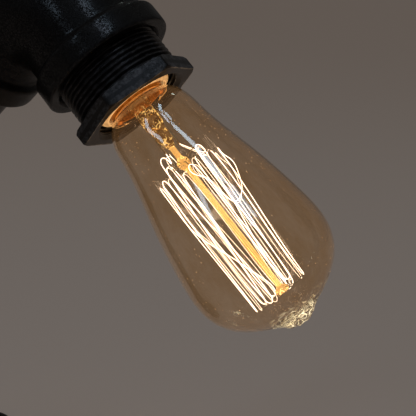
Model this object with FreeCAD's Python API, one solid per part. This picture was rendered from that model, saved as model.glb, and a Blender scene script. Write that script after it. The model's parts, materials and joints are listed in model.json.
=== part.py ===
import FreeCAD, Part
import math
import os
from FreeCAD import Placement, Rotation, Vector

# Industrial pipe table lamp, in millimetres.
# The origin is the centre of the base's underside, +Z is up and +X is the side
# that the lamp leans and shines towards.

# ---------------------------------------------------------------- pipe sizes
PIPE_R = 24.15              # outside of 1 1/2 inch pipe
PIPE_BORE_R = 20.45
THREAD_PITCH = 2.209
THREAD_DEPTH = 1.1
THREAD_SHOW = 2             # turns of thread that stay in sight at a mouth
MOUTH_GAP = 0.08            # radial clearance of a pipe in a mouth
SOCKET_DEPTH = 15.5         # from a fitting's mouth to its inner shoulder
ENGAGED = 15.0              # length of pipe inside a mouth
MOUTH_CHAMFER = 1.9

BASE_NIPPLE_LENGTH = 63.5
RISER_LENGTH = 101.6
ARM_NIPPLE_LENGTH = 63.5

# ------------------------------------------------------------- cast fittings
BODY_R = 27.3
CAVITY_R = 22.3
BAND_R = 30.6
BAND_WIDTH = 10.5
BAND_EDGE = 1.2             # bevel along both rims of a band
CENTRE_TO_END = 49.3        # cross and square elbow
BEND_R = 29.0               # centre line radius of the square elbow
OBTUSE_CENTRE_TO_END = 36.3
OBTUSE_BEND_R = 42.0
LEAN = 45.0                 # angle of the arm and of the bulb, degrees

# ---------------------------------------------------------------------- base
PAD_THICKNESS = 2.0
PAD_INSET = 1.5
FLANGE_R = 63.5
FLANGE_PLATE = 6.5
FLANGE_EDGE = 2.0
FLANGE_HEIGHT = 23.0
HUB_R = 31.0
HUB_SPREAD = 5.0            # how far the hub's root flares out
HUB_FLARE = 6.0             # height of the flare
FLARE_CORNER = 1 / 3        # where the flare's middle corner lies, as a share of both
FLANGE_LIP_R = 20.0         # hole under the pipe's end
BOLT_CIRCLE_R = 49.0
BOLT_COUNT = 4
BOLT_HOLE_R = 3.6
BOLT_SINK_R = 6.6
BOLT_SINK = 3.0
BOLT_START = 45.0

# ---------------------------------------------------- plugs in the cross
PLUG_FLATS = 50.2
PLUG_HEAD = 8.5
PLUG_WALL = 4.0
PLUG_BORE_R = 18.6
PLUG_TURN = 0.0
HEX_EDGE = 0.9              # bevel on the corners of a hexagon

# -------------------------------------------------------------- rotary switch
NECK_R = 5.0
NECK_GAP = 0.15
SWITCH_R = 14.0
SWITCH_LENGTH = 15.0
SWITCH_LUG_R = 1.1
SWITCH_LUG_LENGTH = 4.0
SWITCH_LUG_SPREAD = 7.0
NUT_FLATS = 15.0
NUT_LENGTH = 3.5
WASHER_R = 8.6
WASHER_LENGTH = 0.9
SHAFT_R = 3.0
SHAFT_GAP = 0.05            # running fit of the shaft in the neck
SHAFT_SUNK = 12.0           # length of shaft inside the switch

# ------------------------------------------------------------------ handwheel
WHEEL_R = 26.0              # centre line of the rim
RIM_R = 3.8
SPOKES = 5
SPOKE_R = 2.7
SPOKE_INSET = 2.0           # how far a spoke's ends sink into hub and rim
HUB_WHEEL_R = 7.5
HUB_WHEEL_LENGTH = 13.0
WHEEL_DISH = 4.0            # rim stands this far outside the hub's middle
WHEEL_STANDOFF = 1.2        # air between the switch nut and the hub
BORE_GAP = 0.1
KEEPER_R = 1.9              # screw that holds the wheel
KEEPER_HEAD_R = 4.6
KEEPER_HEAD = 2.6
KEEPER_LENGTH = 9.0
HEAD_CROWN = 0.8            # flat top of a round head as a share of its radius
SLOT_WIDTH = 1.2
SLOT_DEPTH = 1.2

# ------------------------------------------------------------------ cord inlet
GLAND_R = 8.0
GLAND_HOLE_GAP = 0.15
GLAND_BORE_R = 5.4
GLAND_FLATS = 20.0
GLAND_COLLAR = 5.0
GLAND_NECK = 8.0
GLAND_INNER = 8.0           # thread that reaches inside the plug
LOCKNUT_FLATS = 21.0
LOCKNUT_LENGTH = 3.2
SEAL_BORE_R = 3.7
SEAL_LENGTH = 9.0
SEAL_GAP = 0.1
DOME_R = 10.2
DOME_LENGTH = 14.0
DOME_MOUTH_R = 4.1
DOME_LIP = 2.0
DOME_SHOULDER = 4.6         # length over which the dome rounds in

# --------------------------------------------------- terminals inside the base
BLOCK_LENGTH = 24.0
BLOCK_DEPTH = 12.0
BLOCK_HEIGHT = 10.0
BLOCK_POLES = 3
BLOCK_WAY_R = 1.7
BLOCK_SCREW_R = 1.5
BLOCK_SCREW_LENGTH = 4.0
SHELF_THICKNESS = 1.5
SHELF_GAP = 0.3             # radial clearance of the shelf in the cross

# ---------------------------------------------------------------------- cables
CABLE_R = 3.4
LEAD_R = 1.05
ARC_SHARE = 0.45
CABLE_REACH = 40.0          # swivel faces lie this far past a fitting's centre
LEAD_SPREAD = 1.5
LEAD_DROP = 8.0             # the switch's wires drop this far from the strip
LEAD_BEND = 13.5            # the head's wires start to spread this far from its centre
LEAD_DIP = 2.5              # and turn this far behind it
FACE_GAP = 0.1

# ------------------------------------------------------------ bulb-end bushing
HEX_FLATS = 50.2
HEX_LENGTH = 6.6
HEX_TURN = 21.7             # degrees from the arm's side to the first corner
BUSHING_THREAD = 15.1       # thread left showing between hexagon and elbow
BUSHING_BORE_R = 20.8       # root of the inner thread
BUSHING_THREADED = 17.6
BUSHING_REAR_R = 18.5
FACE_CHAMFER = 0.8

# ---------------------------------------------------------------- bulb holder
RETAINER_THICKNESS = 2.0
RETAINER_GAP = 0.2
HOLDER_R = 17.7
HOLDER_SKIN = 0.8
HOLDER_LIP_R = 14.7
HOLDER_LIP = 1.6
HOLDER_SETBACK = 1.4        # rim of the holder behind the hexagon's face
CUP_BORE_R = 14.5
SHELL_WALL = 0.5
SHELL_RIDGE = 0.45
SHELL_GAP = 0.15
SHELL_START = 4.6           # front of the brass shell behind the face
CUP_FLOOR = 28.2            # floor of the porcelain cup behind the face
BOSS_R = 14.4
BOSS_LENGTH = 11.0
BOSS_GAP = 0.15
RINGNUT_R = 18.4
RINGNUT_LENGTH = 3.0
STUD_R = 1.6
STUD_OFFSET = 8.0
STUD_GAP = 0.1
TERMINAL_R = 3.4
TERMINAL_LENGTH = 5.0
TERMINAL_SCREW_R = 1.3
TERMINAL_HEAD_R = 2.2
TERMINAL_HEAD = 1.2
TAB_WIDTH = 5.0
TAB_THICKNESS = 0.6
TAB_GAP = 0.1

# ------------------------------------------------------------------------ bulb
BULB_R = 32.0
BULB_REACH = 109.6          # hexagon's face to the end of the dome
PIP_R = 3.6
PIP_LENGTH = 3.0
PIP_END_R = 1.3
PIP_WAIST_R = 2.9           # half way up the pip
GLASS_WALL = 0.9
NECK_TUBE_R = 11.2
NECK_SUNK = 7.0             # neck of the glass inside the cap
# The glass outline as shares of BULB_REACH along the axis and BULB_R across it.
BULB_OUTLINE = (
    (0.000, 0.452),
    (0.034, 0.522),
    (0.150, 0.590),
    (0.300, 0.700),
    (0.450, 0.844),
    (0.600, 0.952),
    (0.705, 1.000),
    (0.800, 0.976),
    (0.880, 0.846),
    (0.940, 0.619),
    (0.980, 0.350),
    (1.000, 0.000),
)
CAP_R = 13.0
CAP_WALL = 0.5
CAP_RIDGE = 0.55
CAP_PITCH = 3.629
CAP_LENGTH = 23.0
CAP_SETBACK = 1.2           # rim of the cap behind the face
CAP_SEAT_R = 4.7
INSULATOR_LENGTH = 2.6
CONTACT_LENGTH = 0.9
CONTACT_CROWN = 0.3
CONTACT_CROWN_R = 2.8
CEMENT_LENGTH = 3.6

# ------------------------------------------------------------------ glass stem
FLARE_R = 9.6
STEM_R = 3.8
STEM_TOP = 11.0
PINCH_WIDTH = 10.0
PINCH_DEPTH = 4.2
PINCH_TOP = 20.0
ROD_R = 1.3
UPPER_HUB = 30.5
UPPER_HUB_R = 2.6
UPPER_HUB_LENGTH = 5.0
LOWER_HUB = 96.5
LOWER_HUB_R = 4.4
LOWER_HUB_LENGTH = 3.0

# -------------------------------------------------------------------- filament
HAIRPINS = 9
CAGE_TOP_R = 13.5
CAGE_LOW_R = 12.0
CAGE_TOP = 34.0
CAGE_LOW = 95.0
HOOK_R = 0.22
FILAMENT_R = 0.2
FILAMENT_GAP = 0.1
LEAD_WIRE_R = 0.4
LEAD_WIRE_OFFSET = 3.4

# ------------------------------------------------------------- worked-out sizes
FLANGE_TOP = PAD_THICKNESS + FLANGE_HEIGHT
CROSS_Z = FLANGE_TOP + BASE_NIPPLE_LENGTH - 2 * ENGAGED + CENTRE_TO_END
RISER_FOOT = CROSS_Z + CENTRE_TO_END - ENGAGED
KNEE_Z = RISER_FOOT + RISER_LENGTH - ENGAGED + OBTUSE_CENTRE_TO_END
ARM_SPAN = OBTUSE_CENTRE_TO_END + ARM_NIPPLE_LENGTH - 2 * ENGAGED + CENTRE_TO_END
BUSHING_ENGAGED = SOCKET_DEPTH - RETAINER_THICKNESS - 2 * RETAINER_GAP
FACE_REACH = CENTRE_TO_END + BUSHING_THREAD + HEX_LENGTH
RETAINER_BACK = FACE_REACH - CENTRE_TO_END + SOCKET_DEPTH - RETAINER_GAP
FULL_TURN = 360.0
HEX_SIDES = 6

UP = Vector(0, 0, 1)
ORIGIN = Vector(0, 0, 0)
SIDE = Vector(0, 1, 0)
FRONT = Vector(1, 0, 0)
ARM_DIR = Vector(math.cos(math.radians(LEAN)), 0, math.sin(math.radians(LEAN)))
SHINE_DIR = Vector(math.sin(math.radians(LEAN)), 0, -math.cos(math.radians(LEAN)))
CROSS_AT = Vector(0, 0, CROSS_Z)
KNEE_AT = Vector(0, 0, KNEE_Z)
HEAD_AT = KNEE_AT + ARM_DIR * ARM_SPAN


# ------------------------------------------------------------------- placing
def frame(origin, z_dir, x_dir):
    """A placement whose local z runs along z_dir and local x along x_dir."""
    y_dir = z_dir.cross(x_dir)
    return Placement(origin, Rotation(x_dir, y_dir, z_dir, "ZXY"))


def placed(shape, place):
    """A copy of a local shape, set in its place."""
    moved = shape.copy()
    moved.Placement = place.multiply(moved.Placement)
    return moved


AT_FRONT = frame(CROSS_AT, FRONT, SIDE)
AT_REAR = frame(CROSS_AT, FRONT * -1, SIDE)
AT_ARM = frame(KNEE_AT, ARM_DIR, SIDE)
AT_FACE = frame(HEAD_AT + SHINE_DIR * FACE_REACH, SHINE_DIR, ARM_DIR * -1)
AT_HEAD = frame(HEAD_AT, SHINE_DIR, ARM_DIR * -1)


# ------------------------------------------------------------- basic shapes
def turned(outline):
    """Turn a closed outline of (radius, height) corners about local z."""
    corners = [Vector(radius, 0, height) for radius, height in outline]
    wire = Part.makePolygon(corners + corners[:1])
    return Part.Face(wire).revolve(ORIGIN, UP, FULL_TURN)


def rod(radius, low, high):
    """A round bar on local z from one height to another."""
    return Part.makeCylinder(radius, high - low, Vector(0, 0, low))


def ring(inner, outer, low, high):
    """A flat-ended tube on local z."""
    return turned([(inner, low), (outer, low), (outer, high), (inner, high)])


def bar(radius, start, end):
    """A round bar between two points."""
    span = end - start
    return Part.makeCylinder(radius, span.Length, start, span)


def block(x_size, y_size, low, high):
    """A box centred on local z."""
    return Part.makeBox(x_size, y_size, high - low, Vector(-x_size / 2, -y_size / 2, low))


def hexagon(flats, low, high, turn):
    """A hexagonal bar on local z with bevelled corners at both ends."""
    corner_r = flats / 2 / math.cos(math.pi / HEX_SIDES)
    corners = [polar(corner_r, angle, low) for angle in around(HEX_SIDES, turn)]
    wire = Part.makePolygon(corners + corners[:1])
    prism = Part.Face(wire).extrude(Vector(0, 0, high - low))
    bevel = turned([
        (0, low),
        (corner_r - HEX_EDGE, low),
        (corner_r, low + HEX_EDGE),
        (corner_r, high - HEX_EDGE),
        (corner_r - HEX_EDGE, high),
        (0, high),
    ])
    return prism.common(bevel)


def unit(vector):
    """A vector of length one in the same direction."""
    return vector * (1 / vector.Length)


def around(count, start=0.0):
    """Evenly spaced angles in degrees."""
    return [start + FULL_TURN * index / count for index in range(count)]


def polar(radius, angle, height=0.0):
    """A point at a radius and an angle in degrees."""
    turn = math.radians(angle)
    return Vector(radius * math.cos(turn), radius * math.sin(turn), height)


def ridges(radius, depth, pitch, low, high):
    """Corners of a thread's outline, from low to high, as rings of one pitch."""
    count = max(1, int((high - low) / pitch))
    step = (high - low) / count
    corners = []
    for index in range(count):
        foot = low + index * step
        corners.append((radius - depth, foot))
        corners.append((radius, foot + step / 2))
    corners.append((radius - depth, high))
    return corners


# ----------------------------------------------------------- pipes and bends
def nipple(length):
    """A pipe with a thread at each end, its lower end at local zero."""
    thread = ENGAGED + THREAD_SHOW * THREAD_PITCH
    outline = [(PIPE_BORE_R, 0)]
    outline += ridges(PIPE_R, THREAD_DEPTH, THREAD_PITCH, 0, thread)
    outline += [(PIPE_R, thread + THREAD_PITCH / 2)]
    outline += [(PIPE_R, length - thread - THREAD_PITCH / 2)]
    outline += ridges(PIPE_R, THREAD_DEPTH, THREAD_PITCH, length - thread, length)
    outline += [(PIPE_BORE_R, length)]
    return turned(outline)


def bend(radius, centre, first, second, bend_r, reach):
    """A round bar through a centre, straight in both arms with one arc between."""
    turn = math.pi - first.getAngle(second)
    trim = bend_r * math.tan(turn / 2)
    inward = unit(second - first * first.dot(second))
    start = centre + first * trim
    disc = Part.Face(Part.Wire(Part.makeCircle(radius, start, first)))
    arc = disc.revolve(start + inward * bend_r, inward.cross(first), math.degrees(turn))
    arms = [bar(radius, centre + arm * trim, centre + arm * reach) for arm in (first, second)]
    return arc.multiFuse(arms)


def band(centre, arm, reach):
    """The thickened collar round one mouth of a cast fitting."""
    back = reach - BAND_WIDTH
    outline = [
        (BODY_R - BAND_EDGE, back),
        (BAND_R - BAND_EDGE, back),
        (BAND_R, back + BAND_EDGE),
        (BAND_R, reach - BAND_EDGE),
        (BAND_R - BAND_EDGE, reach),
        (BODY_R - BAND_EDGE, reach),
    ]
    return placed(turned(outline), facing(centre, arm))


def facing(centre, arm):
    """A frame at a centre with local z along one arm."""
    return frame(centre, arm, SIDE)


def socket(centre, arm, reach):
    """The hollow of one mouth: the pipe's seat and the bevel at its entry."""
    bore = PIPE_R + MOUTH_GAP
    outline = [
        (0, reach - SOCKET_DEPTH),
        (bore, reach - SOCKET_DEPTH),
        (bore, reach - MOUTH_CHAMFER),
        (bore + MOUTH_CHAMFER, reach),
        (0, reach),
    ]
    return placed(turned(outline), facing(centre, arm))


def fitting(body, hollow, centre, arms, reach):
    """A cast fitting: its body, a collar on each arm, and the hollow inside."""
    collars = [band(centre, arm, reach) for arm in arms]
    sockets = [socket(centre, arm, reach) for arm in arms]
    return body.multiFuse(collars).cut(hollow.multiFuse(sockets)).removeSplitter()


def elbow(centre, first, second, bend_r, reach):
    """A two-armed cast fitting."""
    body = bend(BODY_R, centre, first, second, bend_r, reach)
    hollow = bend(CAVITY_R, centre, first, second, bend_r, reach)
    return fitting(body, hollow, centre, (first, second), reach)


def cross(centre):
    """A four-armed cast fitting with arms up, down, front and rear."""
    arms = (UP, UP * -1, FRONT, FRONT * -1)
    bodies = [bar(BODY_R, centre, centre + arm * CENTRE_TO_END) for arm in arms]
    hollows = [bar(CAVITY_R, centre, centre + arm * CENTRE_TO_END) for arm in arms]
    body = bodies[0].multiFuse(bodies[1:])
    hollow = hollows[0].multiFuse(hollows[1:])
    return fitting(body, hollow, centre, arms, CENTRE_TO_END)


def wire_run(points, radius):
    """A cable or wire along straight runs joined by tangent arcs."""
    pieces = []
    start = points[0]
    for before, corner, after in zip(points, points[1:], points[2:]):
        coming = unit(corner - before)
        going = unit(after - corner)
        turn = coming.getAngle(going)
        trim = ARC_SHARE * min((corner - before).Length, (after - corner).Length)
        arc_r = trim / math.tan(turn / 2)
        arc_start = corner - coming * trim
        inward = unit(going - coming * coming.dot(going))
        disc = Part.Face(Part.Wire(Part.makeCircle(radius, arc_start, coming)))
        pieces.append(bar(radius, start, arc_start))
        pieces.append(
            disc.revolve(arc_start + inward * arc_r, coming.cross(inward), math.degrees(turn))
        )
        start = corner + going * trim
    pieces.append(bar(radius, start, points[-1]))
    if len(pieces) == 1:
        return pieces[0]
    return pieces[0].multiFuse(pieces[1:]).removeSplitter()


# -------------------------------------------------------------------- base
def base_pad():
    """The soft disc that the flange stands on."""
    pad = rod(FLANGE_R - PAD_INSET, 0, PAD_THICKNESS)
    holes = [
        rod(BOLT_HOLE_R, 0, PAD_THICKNESS).translated(polar(BOLT_CIRCLE_R, angle))
        for angle in around(BOLT_COUNT, BOLT_START)
    ]
    return pad.cut(holes)


def floor_flange():
    """The cast foot: a bevelled plate, a flared hub and countersunk holes."""
    low = PAD_THICKNESS
    plate = low + FLANGE_PLATE
    bore = PIPE_R + MOUTH_GAP
    floor = FLANGE_TOP - SOCKET_DEPTH
    outline = [
        (FLANGE_LIP_R, low),
        (FLANGE_R, low),
        (FLANGE_R, plate - FLANGE_EDGE),
        (FLANGE_R - FLANGE_EDGE, plate),
        (HUB_R + HUB_SPREAD, plate),
        (HUB_R + HUB_SPREAD * FLARE_CORNER, plate + HUB_FLARE * FLARE_CORNER),
        (HUB_R, plate + HUB_FLARE),
        (HUB_R, FLANGE_TOP - BAND_EDGE),
        (HUB_R - BAND_EDGE, FLANGE_TOP),
        (bore + MOUTH_CHAMFER, FLANGE_TOP),
        (bore, FLANGE_TOP - MOUTH_CHAMFER),
        (bore, floor),
        (FLANGE_LIP_R, floor),
    ]
    sink = [
        (0, low),
        (BOLT_HOLE_R, low),
        (BOLT_HOLE_R, plate - BOLT_SINK),
        (BOLT_SINK_R, plate),
        (0, plate),
    ]
    holes = [
        turned(sink).translated(polar(BOLT_CIRCLE_R, angle))
        for angle in around(BOLT_COUNT, BOLT_START)
    ]
    return turned(outline).cut(holes)


PLUG_SEAT = CENTRE_TO_END + FACE_GAP
PLUG_FACE = PLUG_SEAT + PLUG_HEAD
PLUG_BACK = PLUG_FACE - PLUG_WALL


def hex_plug(hole_r):
    """A hollow plug with a hexagon head and a hole on its axis."""
    inner_end = CENTRE_TO_END - ENGAGED
    spigot = [(PLUG_BORE_R, inner_end)]
    spigot += ridges(PIPE_R, THREAD_DEPTH, THREAD_PITCH, inner_end, PLUG_SEAT)
    spigot += [(PLUG_BORE_R, PLUG_SEAT)]
    head = hexagon(PLUG_FLATS, PLUG_SEAT, PLUG_FACE, PLUG_TURN)
    recess = rod(PLUG_BORE_R, PLUG_SEAT, PLUG_BACK)
    hole = rod(hole_r, PLUG_SEAT, PLUG_FACE)
    return turned(spigot).fuse(head.cut([recess, hole])).removeSplitter()


NUT_SEAT = PLUG_FACE + FACE_GAP
NECK_END = NUT_SEAT + WASHER_LENGTH + NUT_LENGTH + FACE_GAP
WHEEL_FOOT = NECK_END + WHEEL_STANDOFF
SHAFT_FOOT = PLUG_BACK - SHAFT_SUNK
SHAFT_END = WHEEL_FOOT + HUB_WHEEL_LENGTH - FACE_GAP


def rotary_switch():
    """The switch body with its neck and three solder lugs."""
    back = PLUG_BACK - FACE_GAP
    case = rod(SWITCH_R, back - SWITCH_LENGTH, back)
    neck = rod(NECK_R, back, NECK_END)
    lugs = [
        rod(SWITCH_LUG_R, back - SWITCH_LENGTH - SWITCH_LUG_LENGTH, back - SWITCH_LENGTH)
        .translated(Vector(x_offset, y_offset, 0))
        for x_offset, y_offset in switch_lug_places()
    ]
    bore = rod(SHAFT_R + SHAFT_GAP, SHAFT_FOOT - FACE_GAP, NECK_END)
    return case.multiFuse([neck] + lugs).cut(bore)


def switch_lug_places():
    """Local places of the two lugs of the switch."""
    return [(-SWITCH_LUG_SPREAD, 0), (SWITCH_LUG_SPREAD, 0)]


def hex_nut(flats, hole_r, low, high):
    """A hexagon nut on local z."""
    return hexagon(flats, low, high, PLUG_TURN).cut(rod(hole_r, low, high))


def switch_shaft():
    """The spindle, with a hole in its end for the wheel's screw."""
    shaft = rod(SHAFT_R, SHAFT_FOOT, SHAFT_END)
    return shaft.cut(rod(KEEPER_R + BORE_GAP, SHAFT_END - KEEPER_LENGTH, SHAFT_END))


def handwheel():
    """A valve wheel: round rim, dished spokes and a hub bored for the shaft."""
    middle = WHEEL_FOOT + HUB_WHEEL_LENGTH / 2
    rim = Part.makeTorus(WHEEL_R, RIM_R, Vector(0, 0, middle + WHEEL_DISH), UP)
    hub = turned([
        (0, WHEEL_FOOT),
        (HUB_WHEEL_R, WHEEL_FOOT),
        (HUB_WHEEL_R, WHEEL_FOOT + HUB_WHEEL_LENGTH - BAND_EDGE),
        (HUB_WHEEL_R - BAND_EDGE, WHEEL_FOOT + HUB_WHEEL_LENGTH),
        (0, WHEEL_FOOT + HUB_WHEEL_LENGTH),
    ])
    spokes = [
        bar(
            SPOKE_R,
            polar(HUB_WHEEL_R - SPOKE_INSET, angle, middle),
            polar(WHEEL_R - RIM_R + SPOKE_INSET, angle, middle + WHEEL_DISH),
        )
        for angle in around(SPOKES)
    ]
    bore = rod(SHAFT_R + BORE_GAP, WHEEL_FOOT, WHEEL_FOOT + HUB_WHEEL_LENGTH)
    return hub.multiFuse(spokes + [rim]).cut(bore).removeSplitter()


def slotted_screw(shank_r, head_r, head_length, shank_length, seat):
    """A round-headed screw whose head sits on a seat and whose shank runs down."""
    top = seat + head_length
    body = turned([
        (0, seat - shank_length),
        (shank_r, seat - shank_length),
        (shank_r, seat),
        (head_r, seat),
        (head_r, seat + head_length / 2),
        (head_r * HEAD_CROWN, top),
        (0, top),
    ])
    slot = block(2 * head_r, SLOT_WIDTH, top - SLOT_DEPTH, top)
    return body.cut(slot)


def cord_gland():
    """The threaded body of the cord inlet, with its hexagon collar."""
    low = PLUG_FACE + FACE_GAP
    collar = hexagon(GLAND_FLATS, low, low + GLAND_COLLAR, PLUG_TURN)
    inner = rod(GLAND_R, PLUG_BACK - GLAND_INNER, low)
    neck = rod(GLAND_R, low + GLAND_COLLAR, low + GLAND_COLLAR + GLAND_NECK)
    bore = rod(GLAND_BORE_R, PLUG_BACK - GLAND_INNER, low + GLAND_COLLAR + GLAND_NECK)
    return collar.multiFuse([inner, neck]).cut(bore).removeSplitter()


DOME_FOOT = PLUG_FACE + FACE_GAP + GLAND_COLLAR + FACE_GAP


def gland_seal():
    """The rubber sleeve that grips the cord."""
    high = DOME_FOOT + DOME_LENGTH - DOME_LIP - FACE_GAP
    return ring(SEAL_BORE_R, GLAND_BORE_R - SEAL_GAP, high - SEAL_LENGTH, high)


def gland_nut():
    """The dome nut that closes the seal, open at its end for the cord."""
    high = DOME_FOOT + DOME_LENGTH
    bore = GLAND_R + SEAL_GAP
    outline = [
        (bore, DOME_FOOT),
        (DOME_R, DOME_FOOT),
        (DOME_R, high - DOME_SHOULDER),
        ((DOME_R + bore) / 2, high - DOME_LIP),
        (DOME_MOUTH_R + BAND_EDGE, high),
        (DOME_MOUTH_R, high),
        (DOME_MOUTH_R, high - DOME_LIP),
        (bore, high - DOME_LIP),
    ]
    return turned(outline)


# ------------------------------------------------- wiring inside the cross
SHELF_LOW = CROSS_Z - CENTRE_TO_END + ENGAGED + FACE_GAP
BLOCK_LOW = SHELF_LOW + SHELF_THICKNESS + FACE_GAP
BLOCK_TOP = BLOCK_LOW + BLOCK_HEIGHT


def pole_places():
    """Places across the block of its poles."""
    step = BLOCK_LENGTH / BLOCK_POLES
    return [(index - (BLOCK_POLES - 1) / 2) * step for index in range(BLOCK_POLES)]


def terminal_shelf():
    """The insulating disc that rests on the lower nipple's end and holds the block."""
    return rod(CAVITY_R - SHELF_GAP, SHELF_LOW, SHELF_LOW + SHELF_THICKNESS)


def terminal_block():
    """The connector strip: a block with a way along each pole and screw wells."""
    body = block(BLOCK_DEPTH, BLOCK_LENGTH, BLOCK_LOW, BLOCK_TOP)
    middle = (BLOCK_LOW + BLOCK_TOP) / 2
    cuts = []
    for place in pole_places():
        end = Vector(BLOCK_DEPTH / 2, place, middle)
        cuts.append(bar(BLOCK_WAY_R, Vector(-BLOCK_DEPTH / 2, place, middle), end))
        well = rod(BLOCK_SCREW_R + BORE_GAP, middle, BLOCK_TOP)
        cuts.append(well.translated(Vector(0, place, 0)))
    return body.cut(cuts)


def terminal_screws():
    """The screws in the connector strip."""
    return [
        rod(BLOCK_SCREW_R, BLOCK_TOP - BLOCK_SCREW_LENGTH, BLOCK_TOP - SLOT_DEPTH)
        .translated(Vector(0, place, 0))
        for place in pole_places()
    ]


# -------------------------------------------------------------- bulb holder
def hex_bushing():
    """The bushing at the bulb's end: hexagon, long thread and stepped bore."""
    back = -HEX_LENGTH
    end = back - BUSHING_THREAD - BUSHING_ENGAGED
    step = -BUSHING_THREADED
    spigot = [(BUSHING_REAR_R, end)]
    spigot += ridges(PIPE_R, THREAD_DEPTH, THREAD_PITCH, end, back)
    spigot += [(BUSHING_REAR_R, back)]
    head = hexagon(HEX_FLATS, back, 0, HEX_TURN)
    inner = [(0, step)]
    inner += ridges(BUSHING_BORE_R, THREAD_DEPTH, THREAD_PITCH, step, -FACE_CHAMFER)
    inner += [(BUSHING_BORE_R + FACE_CHAMFER, 0), (0, 0)]
    rear = rod(BUSHING_REAR_R, end, step)
    return turned(spigot).fuse(head).cut([turned(inner), rear]).removeSplitter()


def holder_retainer():
    """The washer trapped between the bushing's end and the elbow's shoulder."""
    low = -RETAINER_BACK
    return ring(BOSS_R + BOSS_GAP, PIPE_R - MOUTH_GAP, low, low + RETAINER_THICKNESS)


CUP_SEAT = -RETAINER_BACK + RETAINER_THICKNESS + FACE_GAP
CUP_FRONT = -HOLDER_SETBACK - HOLDER_LIP - FACE_GAP
BOSS_END = CUP_SEAT - BOSS_LENGTH


def stud_places():
    """Local places of the live and the neutral stud."""
    return [Vector(0, -STUD_OFFSET, 0), Vector(0, STUD_OFFSET, 0)]


def holder_body():
    """The porcelain cup with a boss behind it and a hole for each stud."""
    cup_r = HOLDER_R - HOLDER_SKIN - FACE_GAP
    outline = [
        (0, BOSS_END),
        (BOSS_R, BOSS_END),
        (BOSS_R, CUP_SEAT),
        (cup_r, CUP_SEAT),
        (cup_r, CUP_FRONT),
        (CUP_BORE_R, CUP_FRONT),
        (CUP_BORE_R, -CUP_FLOOR),
        (0, -CUP_FLOOR),
    ]
    holes = [rod(STUD_R + STUD_GAP, BOSS_END, -CUP_FLOOR).translated(at) for at in stud_places()]
    return turned(outline).cut(holes)


def holder_shell():
    """The thin outer skin of the holder, rolled in at its front edge."""
    outline = [
        (HOLDER_R - HOLDER_SKIN, CUP_SEAT + FACE_GAP),
        (HOLDER_R, CUP_SEAT + FACE_GAP),
        (HOLDER_R, -HOLDER_SETBACK - HOLDER_LIP / 2),
        (HOLDER_R - HOLDER_LIP / 2, -HOLDER_SETBACK),
        (HOLDER_LIP_R, -HOLDER_SETBACK),
        (HOLDER_LIP_R, -HOLDER_SETBACK - HOLDER_LIP),
        (HOLDER_R - HOLDER_SKIN, -HOLDER_SETBACK - HOLDER_LIP),
    ]
    return turned(outline)


def holder_ring_nut():
    """The round nut on the boss, behind the retaining washer."""
    high = -RETAINER_BACK - FACE_GAP
    return ring(BOSS_R + BOSS_GAP, RINGNUT_R, high - RINGNUT_LENGTH, high)


def screw_shell():
    """The brass thread shell of the holder, with its contact tab."""
    outer = CUP_BORE_R - SHELL_GAP
    low = -CUP_FLOOR + TAB_GAP
    high = -SHELL_START
    inner = ridges(outer - SHELL_WALL, SHELL_RIDGE, CAP_PITCH, low, high)
    outline = [(outer, low), (outer, high)] + inner[::-1]
    tab = Part.makeBox(
        TAB_WIDTH,
        outer - SHELL_WALL / 2 - (STUD_OFFSET - TAB_WIDTH / 2),
        TAB_THICKNESS,
        Vector(-TAB_WIDTH / 2, STUD_OFFSET - TAB_WIDTH / 2, low),
    )
    return turned(outline).fuse(tab).removeSplitter()


def centre_contact():
    """The bronze tongue under the bulb's end contact, on the live stud."""
    low = -CUP_FLOOR + TAB_GAP
    length = STUD_OFFSET + TAB_WIDTH
    return Part.makeBox(
        TAB_WIDTH,
        length,
        TAB_THICKNESS,
        Vector(-TAB_WIDTH / 2, -STUD_OFFSET - TAB_WIDTH / 2, low),
    )


def holder_terminals():
    """The two studs through the boss, each with its round terminal behind."""
    terminals = []
    for at in stud_places():
        foot = BOSS_END - TERMINAL_LENGTH
        middle = foot + TERMINAL_LENGTH / 2
        stud = rod(STUD_R, BOSS_END - FACE_GAP, -CUP_FLOOR)
        terminal = rod(TERMINAL_R, foot, BOSS_END - FACE_GAP)
        way = rod(LEAD_R + STUD_GAP, foot, middle)
        side = bar(
            TERMINAL_SCREW_R + STUD_GAP,
            Vector(0, 0, middle),
            Vector(TERMINAL_R, 0, middle),
        )
        terminals.append(stud.fuse(terminal).cut([way, side]).translated(at))
    return terminals


def holder_terminal_screws():
    """The side screws of the two terminals."""
    height = BOSS_END - TERMINAL_LENGTH / 2
    screws = []
    for at in stud_places():
        shank = bar(
            TERMINAL_SCREW_R,
            Vector(LEAD_R + STUD_GAP, 0, height),
            Vector(TERMINAL_R + STUD_GAP, 0, height),
        )
        head = bar(
            TERMINAL_HEAD_R,
            Vector(TERMINAL_R + STUD_GAP, 0, height),
            Vector(TERMINAL_R + STUD_GAP + TERMINAL_HEAD, 0, height),
        )
        screws.append(shank.fuse(head).removeSplitter().translated(at))
    return screws


# -------------------------------------------------------------------- wiring
ARM_CABLE_START = CROSS_Z + CENTRE_TO_END + CABLE_REACH
ARM_CABLE_END = HEAD_AT - ARM_DIR * CABLE_REACH
CABLE_STRIP = 27.0          # sheath ends this far from the head elbow's centre
CABLE_FOOT_RISE = 8.0       # sheath starts this far above the connector strip


CABLE_FOOT = Vector(-BLOCK_DEPTH, 0, BLOCK_TOP + CABLE_FOOT_RISE)


def base_cable():
    """The cable from the connector strip up to the riser's swivel face."""
    waist = CABLE_FOOT + UP * (CROSS_Z - CABLE_FOOT.z + CAVITY_R / 2)
    knee = Vector(0, 0, CROSS_Z + CENTRE_TO_END - SOCKET_DEPTH)
    top = Vector(0, 0, ARM_CABLE_START - FACE_GAP / 2)
    return wire_run([CABLE_FOOT, waist, knee, top], CABLE_R)


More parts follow.
